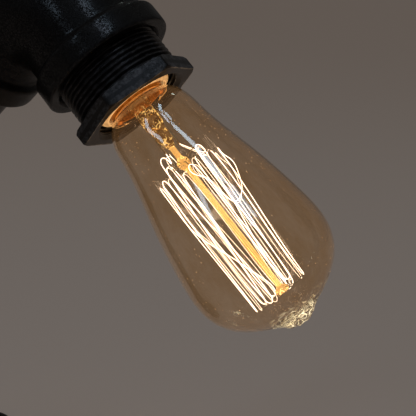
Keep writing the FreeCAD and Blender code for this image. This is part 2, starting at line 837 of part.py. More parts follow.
def cable_tails():
    """The two cores from the sheath's foot down to the connector strip."""
    height = (BLOCK_LOW + BLOCK_TOP) / 2
    face = -BLOCK_DEPTH / 2 - FACE_GAP
    tails = []
    for side, place in ((-1, pole_places()[0]), (1, pole_places()[-1])):
        points = [
            CABLE_FOOT + Vector(0, side * LEAD_SPREAD, -LEAD_R),
            Vector(CABLE_FOOT.x, side * LEAD_SPREAD, (CABLE_FOOT.z + BLOCK_TOP) / 2),
            Vector(CABLE_FOOT.x, place, height),
            Vector(face, place, height),
        ]
        tails.append(wire_run(points, LEAD_R))
    return tails


def arm_cable():
    """The cable up the riser and along the arm to the head's swivel face."""
    start = Vector(0, 0, ARM_CABLE_START + FACE_GAP / 2)
    end = ARM_CABLE_END - ARM_DIR * (FACE_GAP / 2)
    return wire_run([start, KNEE_AT, end], CABLE_R)


def head_cable():
    """The last stretch of cable, from the swivel face into the head elbow."""
    start = ARM_CABLE_END + ARM_DIR * (FACE_GAP / 2)
    return bar(CABLE_R, start, HEAD_AT - ARM_DIR * CABLE_STRIP)


def head_leads():
    """The live and the neutral wire from the sheath's end to their terminals."""
    terminal_foot = FACE_REACH + BOSS_END - TERMINAL_LENGTH
    leads = []
    for side in (-1, 1):
        points = [
            Vector(CABLE_STRIP - LEAD_R, side * LEAD_SPREAD, 0),
            Vector(LEAD_BEND, side * LEAD_SPREAD, -LEAD_DIP),
            Vector(0, side * STUD_OFFSET, -LEAD_DIP),
            Vector(0, side * STUD_OFFSET, terminal_foot + TERMINAL_LENGTH / 2 - FACE_GAP),
        ]
        leads.append(placed(wire_run(points, LEAD_R), AT_HEAD))
    return leads


def switch_leads():
    """The two wires from the switch's lugs to the connector strip."""
    lug_x = PLUG_BACK - FACE_GAP - SWITCH_LENGTH - SWITCH_LUG_LENGTH - FACE_GAP
    block_x = BLOCK_DEPTH / 2 + FACE_GAP
    height = (BLOCK_LOW + BLOCK_TOP) / 2
    leads = []
    for place, (y_offset, _) in zip((pole_places()[0], pole_places()[-1]), switch_lug_places()):
        points = [
            Vector(lug_x, y_offset, CROSS_Z),
            Vector(block_x + LEAD_DROP, y_offset, CROSS_Z),
            Vector(block_x + LEAD_DROP, place, height),
            Vector(block_x, place, height),
        ]
        leads.append(wire_run(points, LEAD_R))
    return leads


# ---------------------------------------------------------------------- bulb
def glass_curve(shrink):
    """The bulb's outline as one smooth curve, moved inwards by a wall."""
    points = []
    count = len(BULB_OUTLINE)
    for index, (along, across) in enumerate(BULB_OUTLINE):
        before = BULB_OUTLINE[max(index - 1, 0)]
        after = BULB_OUTLINE[min(index + 1, count - 1)]
        slope = Vector(
            (after[1] - before[1]) * BULB_R,
            0,
            (after[0] - before[0]) * BULB_REACH,
        )
        if index == count - 1:
            slope = Vector(-1, 0, 0)
        inward = unit(Vector(-slope.z, 0, slope.x))
        point = Vector(across * BULB_R, 0, along * BULB_REACH) + inward * shrink
        points.append(point)
    points[-1].x = 0
    curve = Part.BSplineCurve()
    curve.interpolate(points)
    return curve, points


def bulb_glass():
    """The blown glass: one wall from the sunk neck to the dome, with its pip."""
    outer, outer_points = glass_curve(0)
    inner, inner_points = glass_curve(GLASS_WALL)
    neck_low = -CAP_SETBACK - NECK_SUNK
    neck_top = -CAP_SETBACK + FACE_GAP
    neck_in = NECK_TUBE_R - GLASS_WALL
    corners = [
        outer_points[0],
        Vector(NECK_TUBE_R, 0, neck_top),
        Vector(NECK_TUBE_R, 0, neck_low),
        Vector(neck_in, 0, neck_low),
        Vector(neck_in, 0, neck_top + GLASS_WALL),
        inner_points[0],
    ]
    edges = [Part.makeLine(first, second) for first, second in zip(corners, corners[1:])]
    edges.append(inner.toShape())
    edges.append(Part.makeLine(inner_points[-1], outer_points[-1]))
    edges.append(outer.toShape())
    wire = Part.Wire(Part.__sortEdges__(edges))
    shell = Part.Face(wire).revolve(ORIGIN, UP, FULL_TURN)
    pip_foot = BULB_REACH - GLASS_WALL / 2
    pip = turned([
        (0, pip_foot),
        (PIP_R, pip_foot - GLASS_WALL / 2),
        (PIP_WAIST_R, BULB_REACH + PIP_LENGTH / 2),
        (PIP_END_R, BULB_REACH + PIP_LENGTH),
        (0, BULB_REACH + PIP_LENGTH),
    ])
    return shell.fuse(pip)


def cap_shell():
    """The screw cap's metal shell, rolled to a thread inside and out."""
    high = -CAP_SETBACK
    low = high - CAP_LENGTH
    collar = high - CEMENT_LENGTH - 2 * FACE_GAP
    thread_top = collar - CAP_RIDGE
    outer = ridges(CAP_R, CAP_RIDGE, CAP_PITCH, low, thread_top)
    inner = ridges(CAP_R - CAP_WALL, CAP_RIDGE, CAP_PITCH, low, thread_top)
    outline = [(CAP_R - CAP_WALL, high), (CAP_R - CAP_WALL, collar)]
    outline += inner[::-1] + outer
    outline += [(CAP_R, collar), (CAP_R, high)]
    return turned(outline)


def cap_insulator():
    """The dark glass cone that closes the cap and holds its end contact."""
    high = -CAP_SETBACK - CAP_LENGTH
    low = high - INSULATOR_LENGTH
    return turned([
        (CAP_SEAT_R, low),
        (CAP_R - CAP_RIDGE, high - FACE_GAP),
        (CAP_R - CAP_RIDGE - CAP_WALL, high - FACE_GAP),
        (CAP_SEAT_R, high - FACE_GAP),
    ])


def cap_contact():
    """The solder button at the end of the cap."""
    low = -CAP_SETBACK - CAP_LENGTH - INSULATOR_LENGTH
    seat = CAP_SEAT_R - FACE_GAP
    return turned([
        (0, low - CONTACT_CROWN),
        (CONTACT_CROWN_R, low - CONTACT_CROWN),
        (seat, low),
        (seat, low + CONTACT_LENGTH),
        (0, low + CONTACT_LENGTH),
    ])


def cap_cement():
    """The ring of cement between the cap's rim and the neck of the glass."""
    high = -CAP_SETBACK - FACE_GAP
    return ring(NECK_TUBE_R + FACE_GAP, CAP_R - CAP_WALL - FACE_GAP, high - CEMENT_LENGTH, high)


def glass_stem():
    """The flared stem inside the bulb, its flat pinch, its rod and two beads."""
    low = -CAP_SETBACK - NECK_SUNK
    flare = turned([
        (0, low + GLASS_WALL),
        (STEM_R, low + GLASS_WALL),
        (FLARE_R, low),
        (FLARE_R, low + GLASS_WALL),
        (STEM_R, low + FLARE_R),
        (STEM_R, STEM_TOP),
        (0, STEM_TOP),
    ])
    pinch = block(PINCH_DEPTH, PINCH_WIDTH, STEM_TOP, PINCH_TOP)
    centre_rod = rod(ROD_R, PINCH_TOP, LOWER_HUB)
    beads = [
        rod(UPPER_HUB_R, UPPER_HUB - UPPER_HUB_LENGTH / 2, UPPER_HUB + UPPER_HUB_LENGTH / 2),
        rod(LOWER_HUB_R, LOWER_HUB - LOWER_HUB_LENGTH / 2, LOWER_HUB + LOWER_HUB_LENGTH / 2),
    ]
    return flare.multiFuse([pinch, centre_rod] + beads).removeSplitter()


# ------------------------------------------------------------------ filament
TOP_ANGLES = around(HAIRPINS)
LOW_ANGLES = around(HAIRPINS, FULL_TURN / HAIRPINS / 2)


def hook(hub_r, hub_z, tip):
    """One anchor wire, set in its glass bead."""
    flat = Vector(tip.x, tip.y, 0)
    seat = unit(flat) * (hub_r + FILAMENT_GAP)
    return bar(HOOK_R, Vector(seat.x, seat.y, hub_z), tip)


def filament_hooks():
    """The ring of anchor wires at each end of the cage."""
    tops = [polar(CAGE_TOP_R, angle, CAGE_TOP) for angle in TOP_ANGLES]
    lows = [polar(CAGE_LOW_R, angle, CAGE_LOW) for angle in LOW_ANGLES]
    upper = [hook(UPPER_HUB_R, UPPER_HUB, tip) for tip in tops]
    return upper + [hook(LOWER_HUB_R, LOWER_HUB, tip) for tip in lows]


def filament():
    """The legs of the carbon thread between the upper and the lower hooks."""
    legs = []
    for index, (top_angle, low_angle) in enumerate(zip(TOP_ANGLES, LOW_ANGLES)):
        top = polar(CAGE_TOP_R, top_angle, CAGE_TOP)
        low = polar(CAGE_LOW_R, low_angle, CAGE_LOW)
        next_top = polar(CAGE_TOP_R, TOP_ANGLES[(index + 1) % HAIRPINS], CAGE_TOP)
        for upper_end in (top, next_top):
            run = unit(low - upper_end)
            trim = HOOK_R + FILAMENT_R + FILAMENT_GAP
            shift = polar(1, low_angle) * trim
            legs.append(bar(FILAMENT_R, upper_end + run * trim + shift, low - run * trim + shift))
    return legs


def lead_in_wires():
    """The two wires from the pinch to the ends of the carbon thread."""
    wires = []
    for side in (-1, 1):
        foot = Vector(0, side * LEAD_WIRE_OFFSET, PINCH_TOP + LEAD_WIRE_R)
        tip = Vector(0, side * (CAGE_TOP_R - 2 * LEAD_WIRE_R), CAGE_TOP - UPPER_HUB_R)
        wires.append(bar(LEAD_WIRE_R, foot, tip))
    return wires


# ------------------------------------------------------------------- output
def save(name, shapes):
    """Write one node: a single solid, or a group of separate ones."""
    pieces = shapes if isinstance(shapes, list) else [shapes]
    solids = [solid for piece in pieces for solid in piece.Solids]
    whole = solids[0] if len(solids) == 1 else Part.makeCompound(solids)
    whole.exportStep("parts/" + name + ".step")
    volume = sum(solid.Volume for solid in solids)
    print(name, len(solids), round(volume, 1), whole.isValid())


def group(shapes, place):
    """Set several local shapes in their place."""
    return [placed(shape, place) for shape in shapes]


os.makedirs("parts", exist_ok=True)

save("base_pad", base_pad())
save("floor_flange", floor_flange())
save("base_nipple", nipple(BASE_NIPPLE_LENGTH).translated(UP * (FLANGE_TOP - ENGAGED)))
save("pipe_cross", cross(CROSS_AT))
save("terminal_shelf", terminal_shelf())
save("terminal_block", terminal_block())
save("terminal_block_screws", terminal_screws())
save("base_cable", base_cable())
save("cable_tails", cable_tails())
save("switch_leads", switch_leads())

save("front_plug", placed(hex_plug(NECK_R + NECK_GAP), AT_FRONT))
save("rotary_switch", placed(rotary_switch(), AT_FRONT))
save("switch_washer", placed(
    ring(NECK_R + NECK_GAP, WASHER_R, NUT_SEAT, NUT_SEAT + WASHER_LENGTH), AT_FRONT))
save("switch_nut", placed(
    hex_nut(NUT_FLATS, NECK_R + NECK_GAP, NUT_SEAT + WASHER_LENGTH + FACE_GAP, NECK_END), AT_FRONT))
save("switch_shaft", placed(switch_shaft(), AT_FRONT))
save("handwheel", placed(handwheel(), AT_FRONT))
save("handwheel_screw", placed(
    slotted_screw(KEEPER_R, KEEPER_HEAD_R, KEEPER_HEAD, KEEPER_LENGTH - BORE_GAP,
                  WHEEL_FOOT + HUB_WHEEL_LENGTH + FACE_GAP), AT_FRONT))

save("rear_plug", placed(hex_plug(GLAND_R + GLAND_HOLE_GAP), AT_REAR))
save("cord_gland", placed(cord_gland(), AT_REAR))
save("gland_locknut", placed(
    hex_nut(LOCKNUT_FLATS, GLAND_R + GLAND_HOLE_GAP,
            PLUG_BACK - FACE_GAP - LOCKNUT_LENGTH, PLUG_BACK - FACE_GAP), AT_REAR))
save("gland_seal", placed(gland_seal(), AT_REAR))
save("gland_nut", placed(gland_nut(), AT_REAR))

save("riser_pipe", nipple(RISER_LENGTH).translated(UP * RISER_FOOT))
save("elbow_45", elbow(KNEE_AT, UP * -1, ARM_DIR, OBTUSE_BEND_R, OBTUSE_CENTRE_TO_END))
save("arm_nipple", placed(
    nipple(ARM_NIPPLE_LENGTH).translated(UP * (OBTUSE_CENTRE_TO_END - ENGAGED)), AT_ARM))
save("arm_cable", arm_cable())

save("elbow_90", elbow(HEAD_AT, ARM_DIR * -1, SHINE_DIR, BEND_R, CENTRE_TO_END))
save("hex_bushing", placed(hex_bushing(), AT_FACE))
save("holder_retainer", placed(holder_retainer(), AT_FACE))
save("holder_body", placed(holder_body(), AT_FACE))
save("holder_shell", placed(holder_shell(), AT_FACE))
save("holder_ring_nut", placed(holder_ring_nut(), AT_FACE))
save("screw_shell", placed(screw_shell(), AT_FACE))
save("centre_contact", placed(centre_contact(), AT_FACE))
save("holder_terminals", group(holder_terminals(), AT_FACE))
save("holder_terminal_screws", group(holder_terminal_screws(), AT_FACE))
save("head_cable", head_cable())
save("head_leads", head_leads())

save("bulb_glass", placed(bulb_glass(), AT_FACE))
save("cap_shell", placed(cap_shell(), AT_FACE))
save("cap_cement", placed(cap_cement(), AT_FACE))
save("cap_insulator", placed(cap_insulator(), AT_FACE))
save("cap_contact", placed(cap_contact(), AT_FACE))
save("glass_stem", placed(glass_stem(), AT_FACE))
save("filament_hooks", group(filament_hooks(), AT_FACE))
save("filament", group(filament(), AT_FACE))
save("lead_in_wires", group(lead_in_wires(), AT_FACE))
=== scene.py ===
"""Looks of an industrial pipe table lamp: cast fittings, threaded pipe, valve wheel and filament bulb.

Sizes are in millimetres, and a mesh is scaled to metres when it is made.
"""

import json
import logging
import math
from dataclasses import dataclass, replace
from enum import Enum, IntEnum
from typing import Callable, NamedTuple, Sequence

import bmesh
import bpy
import numpy as np
from mathutils import Matrix

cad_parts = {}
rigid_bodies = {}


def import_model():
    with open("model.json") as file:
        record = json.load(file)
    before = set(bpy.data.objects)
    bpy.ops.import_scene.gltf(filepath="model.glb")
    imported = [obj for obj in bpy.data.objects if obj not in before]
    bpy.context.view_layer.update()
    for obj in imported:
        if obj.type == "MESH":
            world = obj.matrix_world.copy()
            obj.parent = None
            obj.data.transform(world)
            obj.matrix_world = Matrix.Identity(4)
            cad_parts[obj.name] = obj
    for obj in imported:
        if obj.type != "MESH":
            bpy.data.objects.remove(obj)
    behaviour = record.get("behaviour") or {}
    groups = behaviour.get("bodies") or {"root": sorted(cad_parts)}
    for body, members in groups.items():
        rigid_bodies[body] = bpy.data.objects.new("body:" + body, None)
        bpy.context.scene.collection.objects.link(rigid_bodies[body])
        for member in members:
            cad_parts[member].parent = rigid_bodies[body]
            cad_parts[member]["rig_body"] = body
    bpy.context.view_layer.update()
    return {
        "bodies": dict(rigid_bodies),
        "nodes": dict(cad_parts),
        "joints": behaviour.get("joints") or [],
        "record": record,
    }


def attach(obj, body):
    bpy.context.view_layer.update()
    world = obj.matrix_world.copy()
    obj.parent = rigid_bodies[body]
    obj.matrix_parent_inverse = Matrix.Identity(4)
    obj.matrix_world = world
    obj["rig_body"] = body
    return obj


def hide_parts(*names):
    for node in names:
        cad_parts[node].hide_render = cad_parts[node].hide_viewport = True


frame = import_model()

Points = np.ndarray
Colour = tuple[float, float, float]
Mesh = bpy.types.Mesh
Tree = bpy.types.NodeTree
Socket = bpy.types.NodeSocket

LOG = logging.getLogger("pipe_lamp")
MM = 0.001
TAU = 2 * math.pi
UP = np.array([0.0, 0.0, 1.0])
TINY = 1e-9
MERGE = 2e-6
SHARP = 34.0
CRISP = 24.0
ROUNDED = 80.0
CORNER_STEPS = 5
LARGEST_ROUNDING = 0.45
SAME_RADIUS = 0.02
ROWS_A_PITCH = 10
BULB_TILT = math.radians(135)
DUST_TONE = (0.21, 0.19, 0.17)
# Colour of the painted shade that darkens thick glass in clouds.
PAINTED_SHADE_TONE = (0.3, 0.2, 0.1)


class Slot(Enum):
    """The record's material slots."""

    FELT = "felt_pad"
    IRON = "black_iron"
    PIPE = "black_pipe"
    BOARD = "insulating_board"
    NYLON = "pale_nylon"
    STEEL = "plated_steel"
    SHEATH = "cable_sheath"
    CORE = "core_insulation"
    SWITCH = "switch_case"
    WHEEL = "wheel_paint"
    GLAND = "gland_plastic"
    RUBBER = "seal_rubber"
    PORCELAIN = "porcelain"
    CREAM = "cream_shell"
    BRASS = "brass"
    SOLDER = "solder"
    CEMENT = "cement"
    BLACK_GLASS = "black_glass"
    AMBER = "amber_glass"
    CLEAR = "clear_glass"
    WIRE = "hook_wire"
    GLOW = "glowing_carbon"


class Seed(IntEnum):
    """Seeds of the uneven surfaces."""

    SQUARE_ELBOW = 5
    CROSS = 11
    FLANGE = 21
    PAD = 31
    KNEE = 41
    TIP = 71
    STEM = 81


# ------------------------------------------------------------------ numbers
def unit(vectors: Points) -> Points:
    """Vectors of length one in the same directions."""
    return vectors / np.linalg.norm(vectors, axis=-1, keepdims=True)


def ramp(value: Points, low: float, high: float) -> Points:
    """Zero below low, one above high, and 3t^2 - 2t^3 of the share t in between."""
    share = np.clip((value - low) / (high - low), 0.0, 1.0)
    return share * share * (3 - 2 * share)


def soft_min(first: Points, second: Points, blend: float) -> Points:
    """The smaller of two values, less h^2 b / 4 where they differ by under b, with h = 1 - |a - c| / b."""
    share = np.clip(1 - np.abs(first - second) / blend, 0.0, 1.0)
    return np.minimum(first, second) - share * share * blend / 4


def ripple(points: Points, size: float, seed: int, waves: int = 9) -> Points:
    """Smooth unevenness from -1 to 1.

    The value is the mean of sin(k . p + phase) over random wave vectors k near 2 pi / size, doubled
    and clipped.

    Args:
        points: places to value, with coordinates in the last axis.
        size: usual width of a bump.
        seed: seed of the random wave vectors.
        waves: how many sines are averaged.

    Returns:
        One value for each point.
    """
    draw = np.random.default_rng(seed)
    vectors = unit(draw.normal(size=(waves, 3))) * TAU / (2 * size * draw.uniform(0.6, 1.5, (waves, 1)))
    phases = draw.uniform(0, TAU, waves)
    return np.clip(2 * np.sin(points @ vectors.T + phases).mean(-1), -1, 1)


def around(columns: int) -> Points:
    """Angles that divide a full turn evenly."""
    return np.linspace(0, TAU, columns, endpoint=False)


def spline(knots: Points, count: int) -> Points:
    """A natural cubic spline through knots, at evenly spaced parameters.

    The parameter is the length along the chords. The second derivatives M solve
    h M[i-1] + 2 (h + g) M[i] + g M[i+1] = 6 (slope after - slope before), and are zero at the ends.

    Args:
        knots: points that the curve passes through.
        count: how many points to return, both ends included.

    Returns:
        An array of points along the curve.
    """
    step = np.linalg.norm(np.diff(knots, axis=0), axis=1)
    at = np.concatenate([[0.0], np.cumsum(step)])
    slope = np.diff(knots, axis=0) / step[:, None]
    size = len(knots)
    system = np.eye(size)
    inner = np.arange(1, size - 1)
    system[inner, inner - 1] = step[:-1]
    system[inner, inner] = 2 * (step[:-1] + step[1:])
    system[inner, inner + 1] = step[1:]
    right = np.zeros_like(knots)
    right[1:-1] = 6 * np.diff(slope, axis=0)
    bend = np.linalg.solve(system, right)
    where = np.linspace(0, at[-1], count)
    piece = np.clip(np.searchsorted(at, where, side="right") - 1, 0, size - 2)
    span = step[piece][:, None]
    ahead = (at[piece + 1] - where)[:, None]
    behind = (where - at[piece])[:, None]
    cubic = (bend[piece] * ahead**3 + bend[piece + 1] * behind**3) / (6 * span)
    start = (knots[piece] / span - bend[piece] * span / 6) * ahead
    end = (knots[piece + 1] / span - bend[piece + 1] * span / 6) * behind
    return cubic + start + end


# -------------------------------------------------------------------- places
@dataclass(frozen=True)
class Place:
    """A local frame: z runs along a piece's axis and x across it."""

    origin: Points
    z_dir: Points
    x_dir: Points

    def world(self, points: Points) -> Points:
        """Points of the local frame in the lamp's frame."""
        return self.origin + points @ np.stack([self.x_dir, np.cross(self.z_dir, self.x_dir), self.z_dir])

    def along(self, distance: float) -> "Place":
        """The same frame moved along its own z."""
        return Place(self.origin + self.z_dir * distance, self.z_dir, self.x_dir)


WORLD = Place(np.zeros(3), UP, np.array([1.0, 0.0, 0.0]))


@dataclass(frozen=True)
class PipeSizes:
    """Stock sizes of 1 1/2 inch pipe and its cast fittings."""

    pipe_r: float = 24.15
    bore_r: float = 20.45
    pitch: float = 2.209
    thread_depth: float = 1.25
    thread_show: float = 4.4
    mouth_gap: float = 0.08
    mouth_chamfer: float = 1.9
    socket_depth: float = 15.5
    engaged: float = 15.0
    body_r: float = 27.3
    cavity_r: float = 22.3
    band_r: float = 30.6
    band_width: float = 10.5
    band_slope: float = 0.9
    band_rounding: float = 1.3
    square_reach: float = 49.3
    square_bend_r: float = 29.0
    knee_reach: float = 36.3
    knee_bend_r: float = 42.0
    base_nipple: float = 63.5
    riser: float = 101.6


class Layout:
    """Where the joints put the lamp's axes."""

    def __init__(self, joints: Sequence[dict], sizes: PipeSizes) -> None:
        """Read the axes of the record's joints."""
        spots = {joint["name"]: np.array(joint["pos_m"]) / MM for joint in joints if "pos_m" in joint}
        turns = {joint["name"]: unit(np.array(joint["axis"], float)) for joint in joints}
        self.up = turns["arm_swing"]
        self.front = turns["switch_turn"]
        self.arm_dir = turns["head_turn"]
        self.shine = turns["bulb_unscrew"]
        self.side = np.cross(self.up, self.front)
        self.cross_at = spots["arm_swing"]
        self.head_at = spots["head_turn"]
        arm_span = float(self.head_at @ self.front) / float(self.arm_dir @ self.front)
        self.arm_nipple = arm_span - sizes.knee_reach - sizes.square_reach + 2 * sizes.engaged
        self.knee_at = self.head_at - self.arm_dir * arm_span
        self.face = Place(spots["bulb_unscrew"], self.shine, -self.arm_dir)
        self.front_plug = Place(self.cross_at, self.front, self.side)
        self.rear_plug = Place(self.cross_at, -self.front, self.side)
        inset = sizes.square_reach - sizes.engaged
        self.riser_foot = self.cross_at + self.up * inset
        self.base_nipple_foot = self.cross_at - self.up * (inset + sizes.base_nipple)
        self.arm_nipple_foot = self.knee_at + self.arm_dir * (sizes.knee_reach - sizes.engaged)
        self.flange_top = self.base_nipple_foot + self.up * sizes.engaged


# -------------------------------------------------------------------- shapes
class Corner(NamedTuple):
    """A corner of an outline: where it is, how round, and how finely the run after it is divided."""

    radius: float
    height: float
    rounding: float = 0.0
    step: float = 3.0


def contour(corners: Sequence[tuple], closed: bool = True) -> Points:
    """Points of an outline, rounded at its corners and filled in between.

    With A and B the places on both sides of corner C where the rounding starts and ends, the corner
    is the parabola (1 - t)^2 A + 2 t (1 - t) C + t^2 B.

    Args:
        corners: the values of each Corner, in order.
        closed: whether the last corner runs on to the first.

    Returns:
        An array of (radius, height) points.
    """
    corners = [Corner(*corner) for corner in corners]
    place = np.array([corner[:2] for corner in corners])
    before = np.roll(place, 1, 0) - place
    after = np.roll(place, -1, 0) - place
    if not closed:
        before[0] = -after[0]
        after[-1] = -before[-1]
    size_before = np.linalg.norm(before, axis=1) + TINY
    size_after = np.linalg.norm(after, axis=1) + TINY
    most = LARGEST_ROUNDING * np.minimum(size_before, size_after)
    trim = np.minimum([corner.rounding for corner in corners], most)
    if not closed:
        trim[[0, -1]] = 0
    start = place + before * (trim / size_before)[:, None]
    end = place + after * (trim / size_after)[:, None]
    share = np.linspace(0, 1, CORNER_STEPS)[:, None]
    runs = []
    for index, corner in enumerate(corners):
        run = place[index : index + 1]
        if trim[index] > 0:
            run = (1 - share) ** 2 * start[index] + 2 * share * (1 - share) * run + share**2 * end[index]
        runs.append(run)
        if closed or index < len(corners) - 1:
            gap = start[(index + 1) % len(corners)] - end[index]
            count = max(1, math.ceil(np.linalg.norm(gap) / corner.step))
            runs.append(end[index] + gap * np.arange(1, count)[:, None] / count)
    return np.concatenate(runs)


@dataclass(frozen=True)
class Thread:
    """A helical groove in a round surface; a negative depth cuts outwards, for an inner thread."""

    radius: float
    low: float
    high: float
    pitch: float
    depth: float
    fade: float = 1.5
    crest: float = 0.1

    def cut(self, radius: Points, height: Points, angle: Points) -> Points:
        """Radius after cutting.

        The groove is 1 - |2 f - 1| of the fraction f of height / pitch - angle / 2 pi, rounded at crest
        and root, and it fades out over the thread's two ends.

        Args:
            radius: radius of each point before.
            height: height of each point.
            angle: angle of each point.

        Returns:
            The new radius of each point.
        """
        fraction = (height / self.pitch - angle / TAU) % 1.0
        groove = ramp(1 - np.abs(2 * fraction - 1), self.crest, 1 - self.crest)
        fade_in = ramp(height, self.low, self.low + self.fade)
        fade_out = 1 - ramp(height, self.high - self.fade, self.high)
        on_surface = np.abs(radius - self.radius) < SAME_RADIUS
        return radius - on_surface * fade_in * fade_out * groove * self.depth


@dataclass(frozen=True)
class Hexagon:
    """A hexagonal outline that limits the radius of a turned shape."""

    flats: float
    turn: float = 0.0
    crispness: float = 90.0
    blend: float = 0.35
    across: int = 22

    @property
    def sides(self) -> Points:
        """Directions of the six sides."""
        return self.turn + TAU * (np.arange(6) + 0.5) / 6

    def angles(self) -> Points:
        """Angles that crowd towards the corners: each side's middle plus 30 degrees times sin(pi t / 2)."""
        share = np.linspace(-1, 1, self.across, endpoint=False)
        return (self.sides[:, None] + TAU / 12 * np.sin(share * math.pi / 2)).ravel()

    def limit(self, radius: Points, angle: Points) -> Points:
        """The softened minimum of a radius and the hexagon.

        The hexagon's radius is half its width over the sixfold power mean of the cosines of the angles
        to its sides, so its corners are slightly round.

        Args:
            radius: radius of each point.
            angle: angle of each point.

        Returns:
            The limited radius.
        """
        cosines = np.clip(np.cos(angle[..., None] - self.sides), 0, 1)
        hexagon = self.flats / 2 / (cosines**self.crispness).sum(-1) ** (1 / self.crispness)
        return soft_min(radius, hexagon, self.blend)


def turned(
    outline: Points, columns: int = 96, threads: Sequence[Thread] = (), hexagon: Hexagon | None = None
) -> Points:
    """Turn an outline about z: radius r and height h go to (r cos a, r sin a, h).

    Args:
        outline: (radius, height) points.
        columns: number of angles, unless a hexagon sets them.
        threads: grooves to cut.
        hexagon: limits the radius, if there is one.

    Returns:
        A grid of points, one row for each point of the outline.
    """
    angle = around(columns) if hexagon is None else hexagon.angles()
    radius = outline[:, :1] + 0 * angle
    height = outline[:, 1:] + 0 * angle
    for thread in threads:
        radius = thread.cut(radius, height, angle)
    if hexagon is not None:
        radius = hexagon.limit(radius, 0 * radius + angle)
    return np.stack([radius * np.cos(angle), radius * np.sin(angle), height], -1)


def lathe(
    corners: Sequence[tuple],
    columns: int = 96,
    threads: Sequence[Thread] = (),
    hexagon: Hexagon | None = None,
) -> Points:
    """Round the corners of an outline and turn it about z."""
    return turned(contour(corners), columns, threads, hexagon)


def tube(path: Points, radius: float | Points, lean: Points, sides: int = 8) -> Points:
    """A closed round tube along a path.

    Each ring is P + r (cos a N + sin a B), where N is the lean direction with its part along the path
    taken out, and B is the path's direction crossed with N. Both ends close in a point.

    Args:
        path: points of the centre line.
        radius: one radius, or one for each point.
        lean: a direction that the path never runs along, or one for each point.
        sides: points in a ring.

    Returns:
        A grid of points.
    """
    tangent = unit(np.gradient(path, axis=0))
    lean = np.broadcast_to(lean, path.shape)
    normal = unit(lean - tangent * (lean * tangent).sum(-1, keepdims=True))
    binormal = np.cross(tangent, normal)
    angle = around(sides)[None, :, None]
    spread = np.broadcast_to(radius, len(path))[:, None, None]
    rings = path[:, None] + spread * (np.cos(angle) * normal[:, None] + np.sin(angle) * binormal[:, None])
    poles = np.broadcast_to(path[[0, -1], None], (2, sides, 3))
    return np.concatenate([poles[:1], rings, poles[1:]])


class Skin:
    """Grids of points that become one closed mesh."""

    def __init__(self) -> None:
        """Start with no grids."""
        self.points: list[Points] = []
        self.faces: list[Points] = []
        self.count = 0

    def add(self, grid: Points, closed_rows: bool = True) -> "Skin":
        """Add a grid whose columns go all the way round.

        Args:
            grid: points, one row after the other.
            closed_rows: whether the last row joins the first.

        Returns:
            This skin.
        """
        rows, columns = grid.shape[:2]
        index = self.count + np.arange(rows * columns).reshape(rows, columns)
        index = np.hstack([index, index[:, :1]])
        if closed_rows:
            index = np.vstack([index, index[:1]])
        corners = [index[:-1, :-1], index[1:, :-1], index[1:, 1:], index[:-1, 1:]]
        self.faces.append(np.stack(corners, -1).reshape(-1, 4))
        self.points.append(grid.reshape(-1, 3))
        self.count += rows * columns
        return self

    def mesh(self, name: str, place: Place = WORLD, sharp: float = SHARP) -> Mesh:
        """Make the mesh, with its doubles merged and its faces outwards.

        Args:
            name: name of the mesh.
            place: frame that the grids are in.
            sharp: edges over this many degrees stay sharp.

        Returns:
            The new mesh, in metres.
        """
        points = place.world(np.concatenate(self.points)) * MM
        faces = np.concatenate(self.faces)
        mesh = bpy.data.meshes.new(name)
        mesh.vertices.add(len(points))
        mesh.vertices.foreach_set("co", points.ravel())
        mesh.loops.add(faces.size)
        mesh.loops.foreach_set("vertex_index", faces.ravel())
        mesh.polygons.add(len(faces))
        mesh.polygons.foreach_set("loop_start", np.arange(0, faces.size, 4))
        mesh.update(calc_edges=True)
        clean(mesh, sharp)
        return mesh


def clean(mesh: Mesh, sharp: float) -> None:
    """Merge doubles, turn faces outwards and shade smooth where edges are under sharp degrees."""
    shape = bmesh.new()
    shape.from_mesh(mesh)
    bmesh.ops.remove_doubles(shape, verts=shape.verts, dist=MERGE)
    bmesh.ops.recalc_face_normals(shape, faces=shape.faces)
    shape.to_mesh(mesh)
    shape.free()
    mesh.shade_smooth()
    mesh.set_sharp_from_angle(angle=math.radians(sharp))


def put(name: str, data: bpy.types.ID) -> bpy.types.Object:
    """A new object of the scene with this mesh, light or camera."""
    made = bpy.data.objects.new(name, data)
    bpy.context.scene.collection.objects.link(made)
    return made


def pose(place: Points, *axes: Points) -> Matrix:
    """World matrix at a place in metres, with x, y and z along three axes."""
    return Matrix.Translation(place) @ Matrix(np.column_stack(axes).tolist()).to_4x4()


def finished(mesh: Mesh, sharp: float, modifiers: Sequence[tuple[str, dict]]) -> Mesh:
    """A mesh with modifiers applied.

    Args:
        mesh: mesh to start from.
        sharp: edges over this many degrees stay sharp.
        modifiers: kinds of modifier with their settings.

    Returns:
        The finished mesh.
    """
    carrier = put(mesh.name + "_carrier", mesh)
    for kind, settings in modifiers:
        modifier = carrier.modifiers.new(kind, kind)
        for setting, value in settings.items():
            setattr(modifier, setting, value)
    graph = bpy.context.evaluated_depsgraph_get()
    result = bpy.data.meshes.new_from_object(carrier.evaluated_get(graph), depsgraph=graph)
    bpy.data.objects.remove(carrier)
    clean(result, sharp)
    return result


def drilled(mesh: Mesh, cutter: Skin, place: Place = WORLD, sharp: float = SHARP) -> Mesh:
    """A mesh with the closed shape of a cutter taken out.

    Args:
        mesh: mesh to drill.
        cutter: skin of the shape to take away.
        place: frame that the cutter is in.
        sharp: edges over this many degrees stay sharp.

    Returns:
        The drilled mesh.
    """
    tool = put("cutter", cutter.mesh("cutter", place))
    settings = {"operation": "DIFFERENCE", "solver": "EXACT", "object": tool}
    result = finished(mesh, sharp, [("BOOLEAN", settings)])
    bpy.data.objects.remove(tool)
    return result


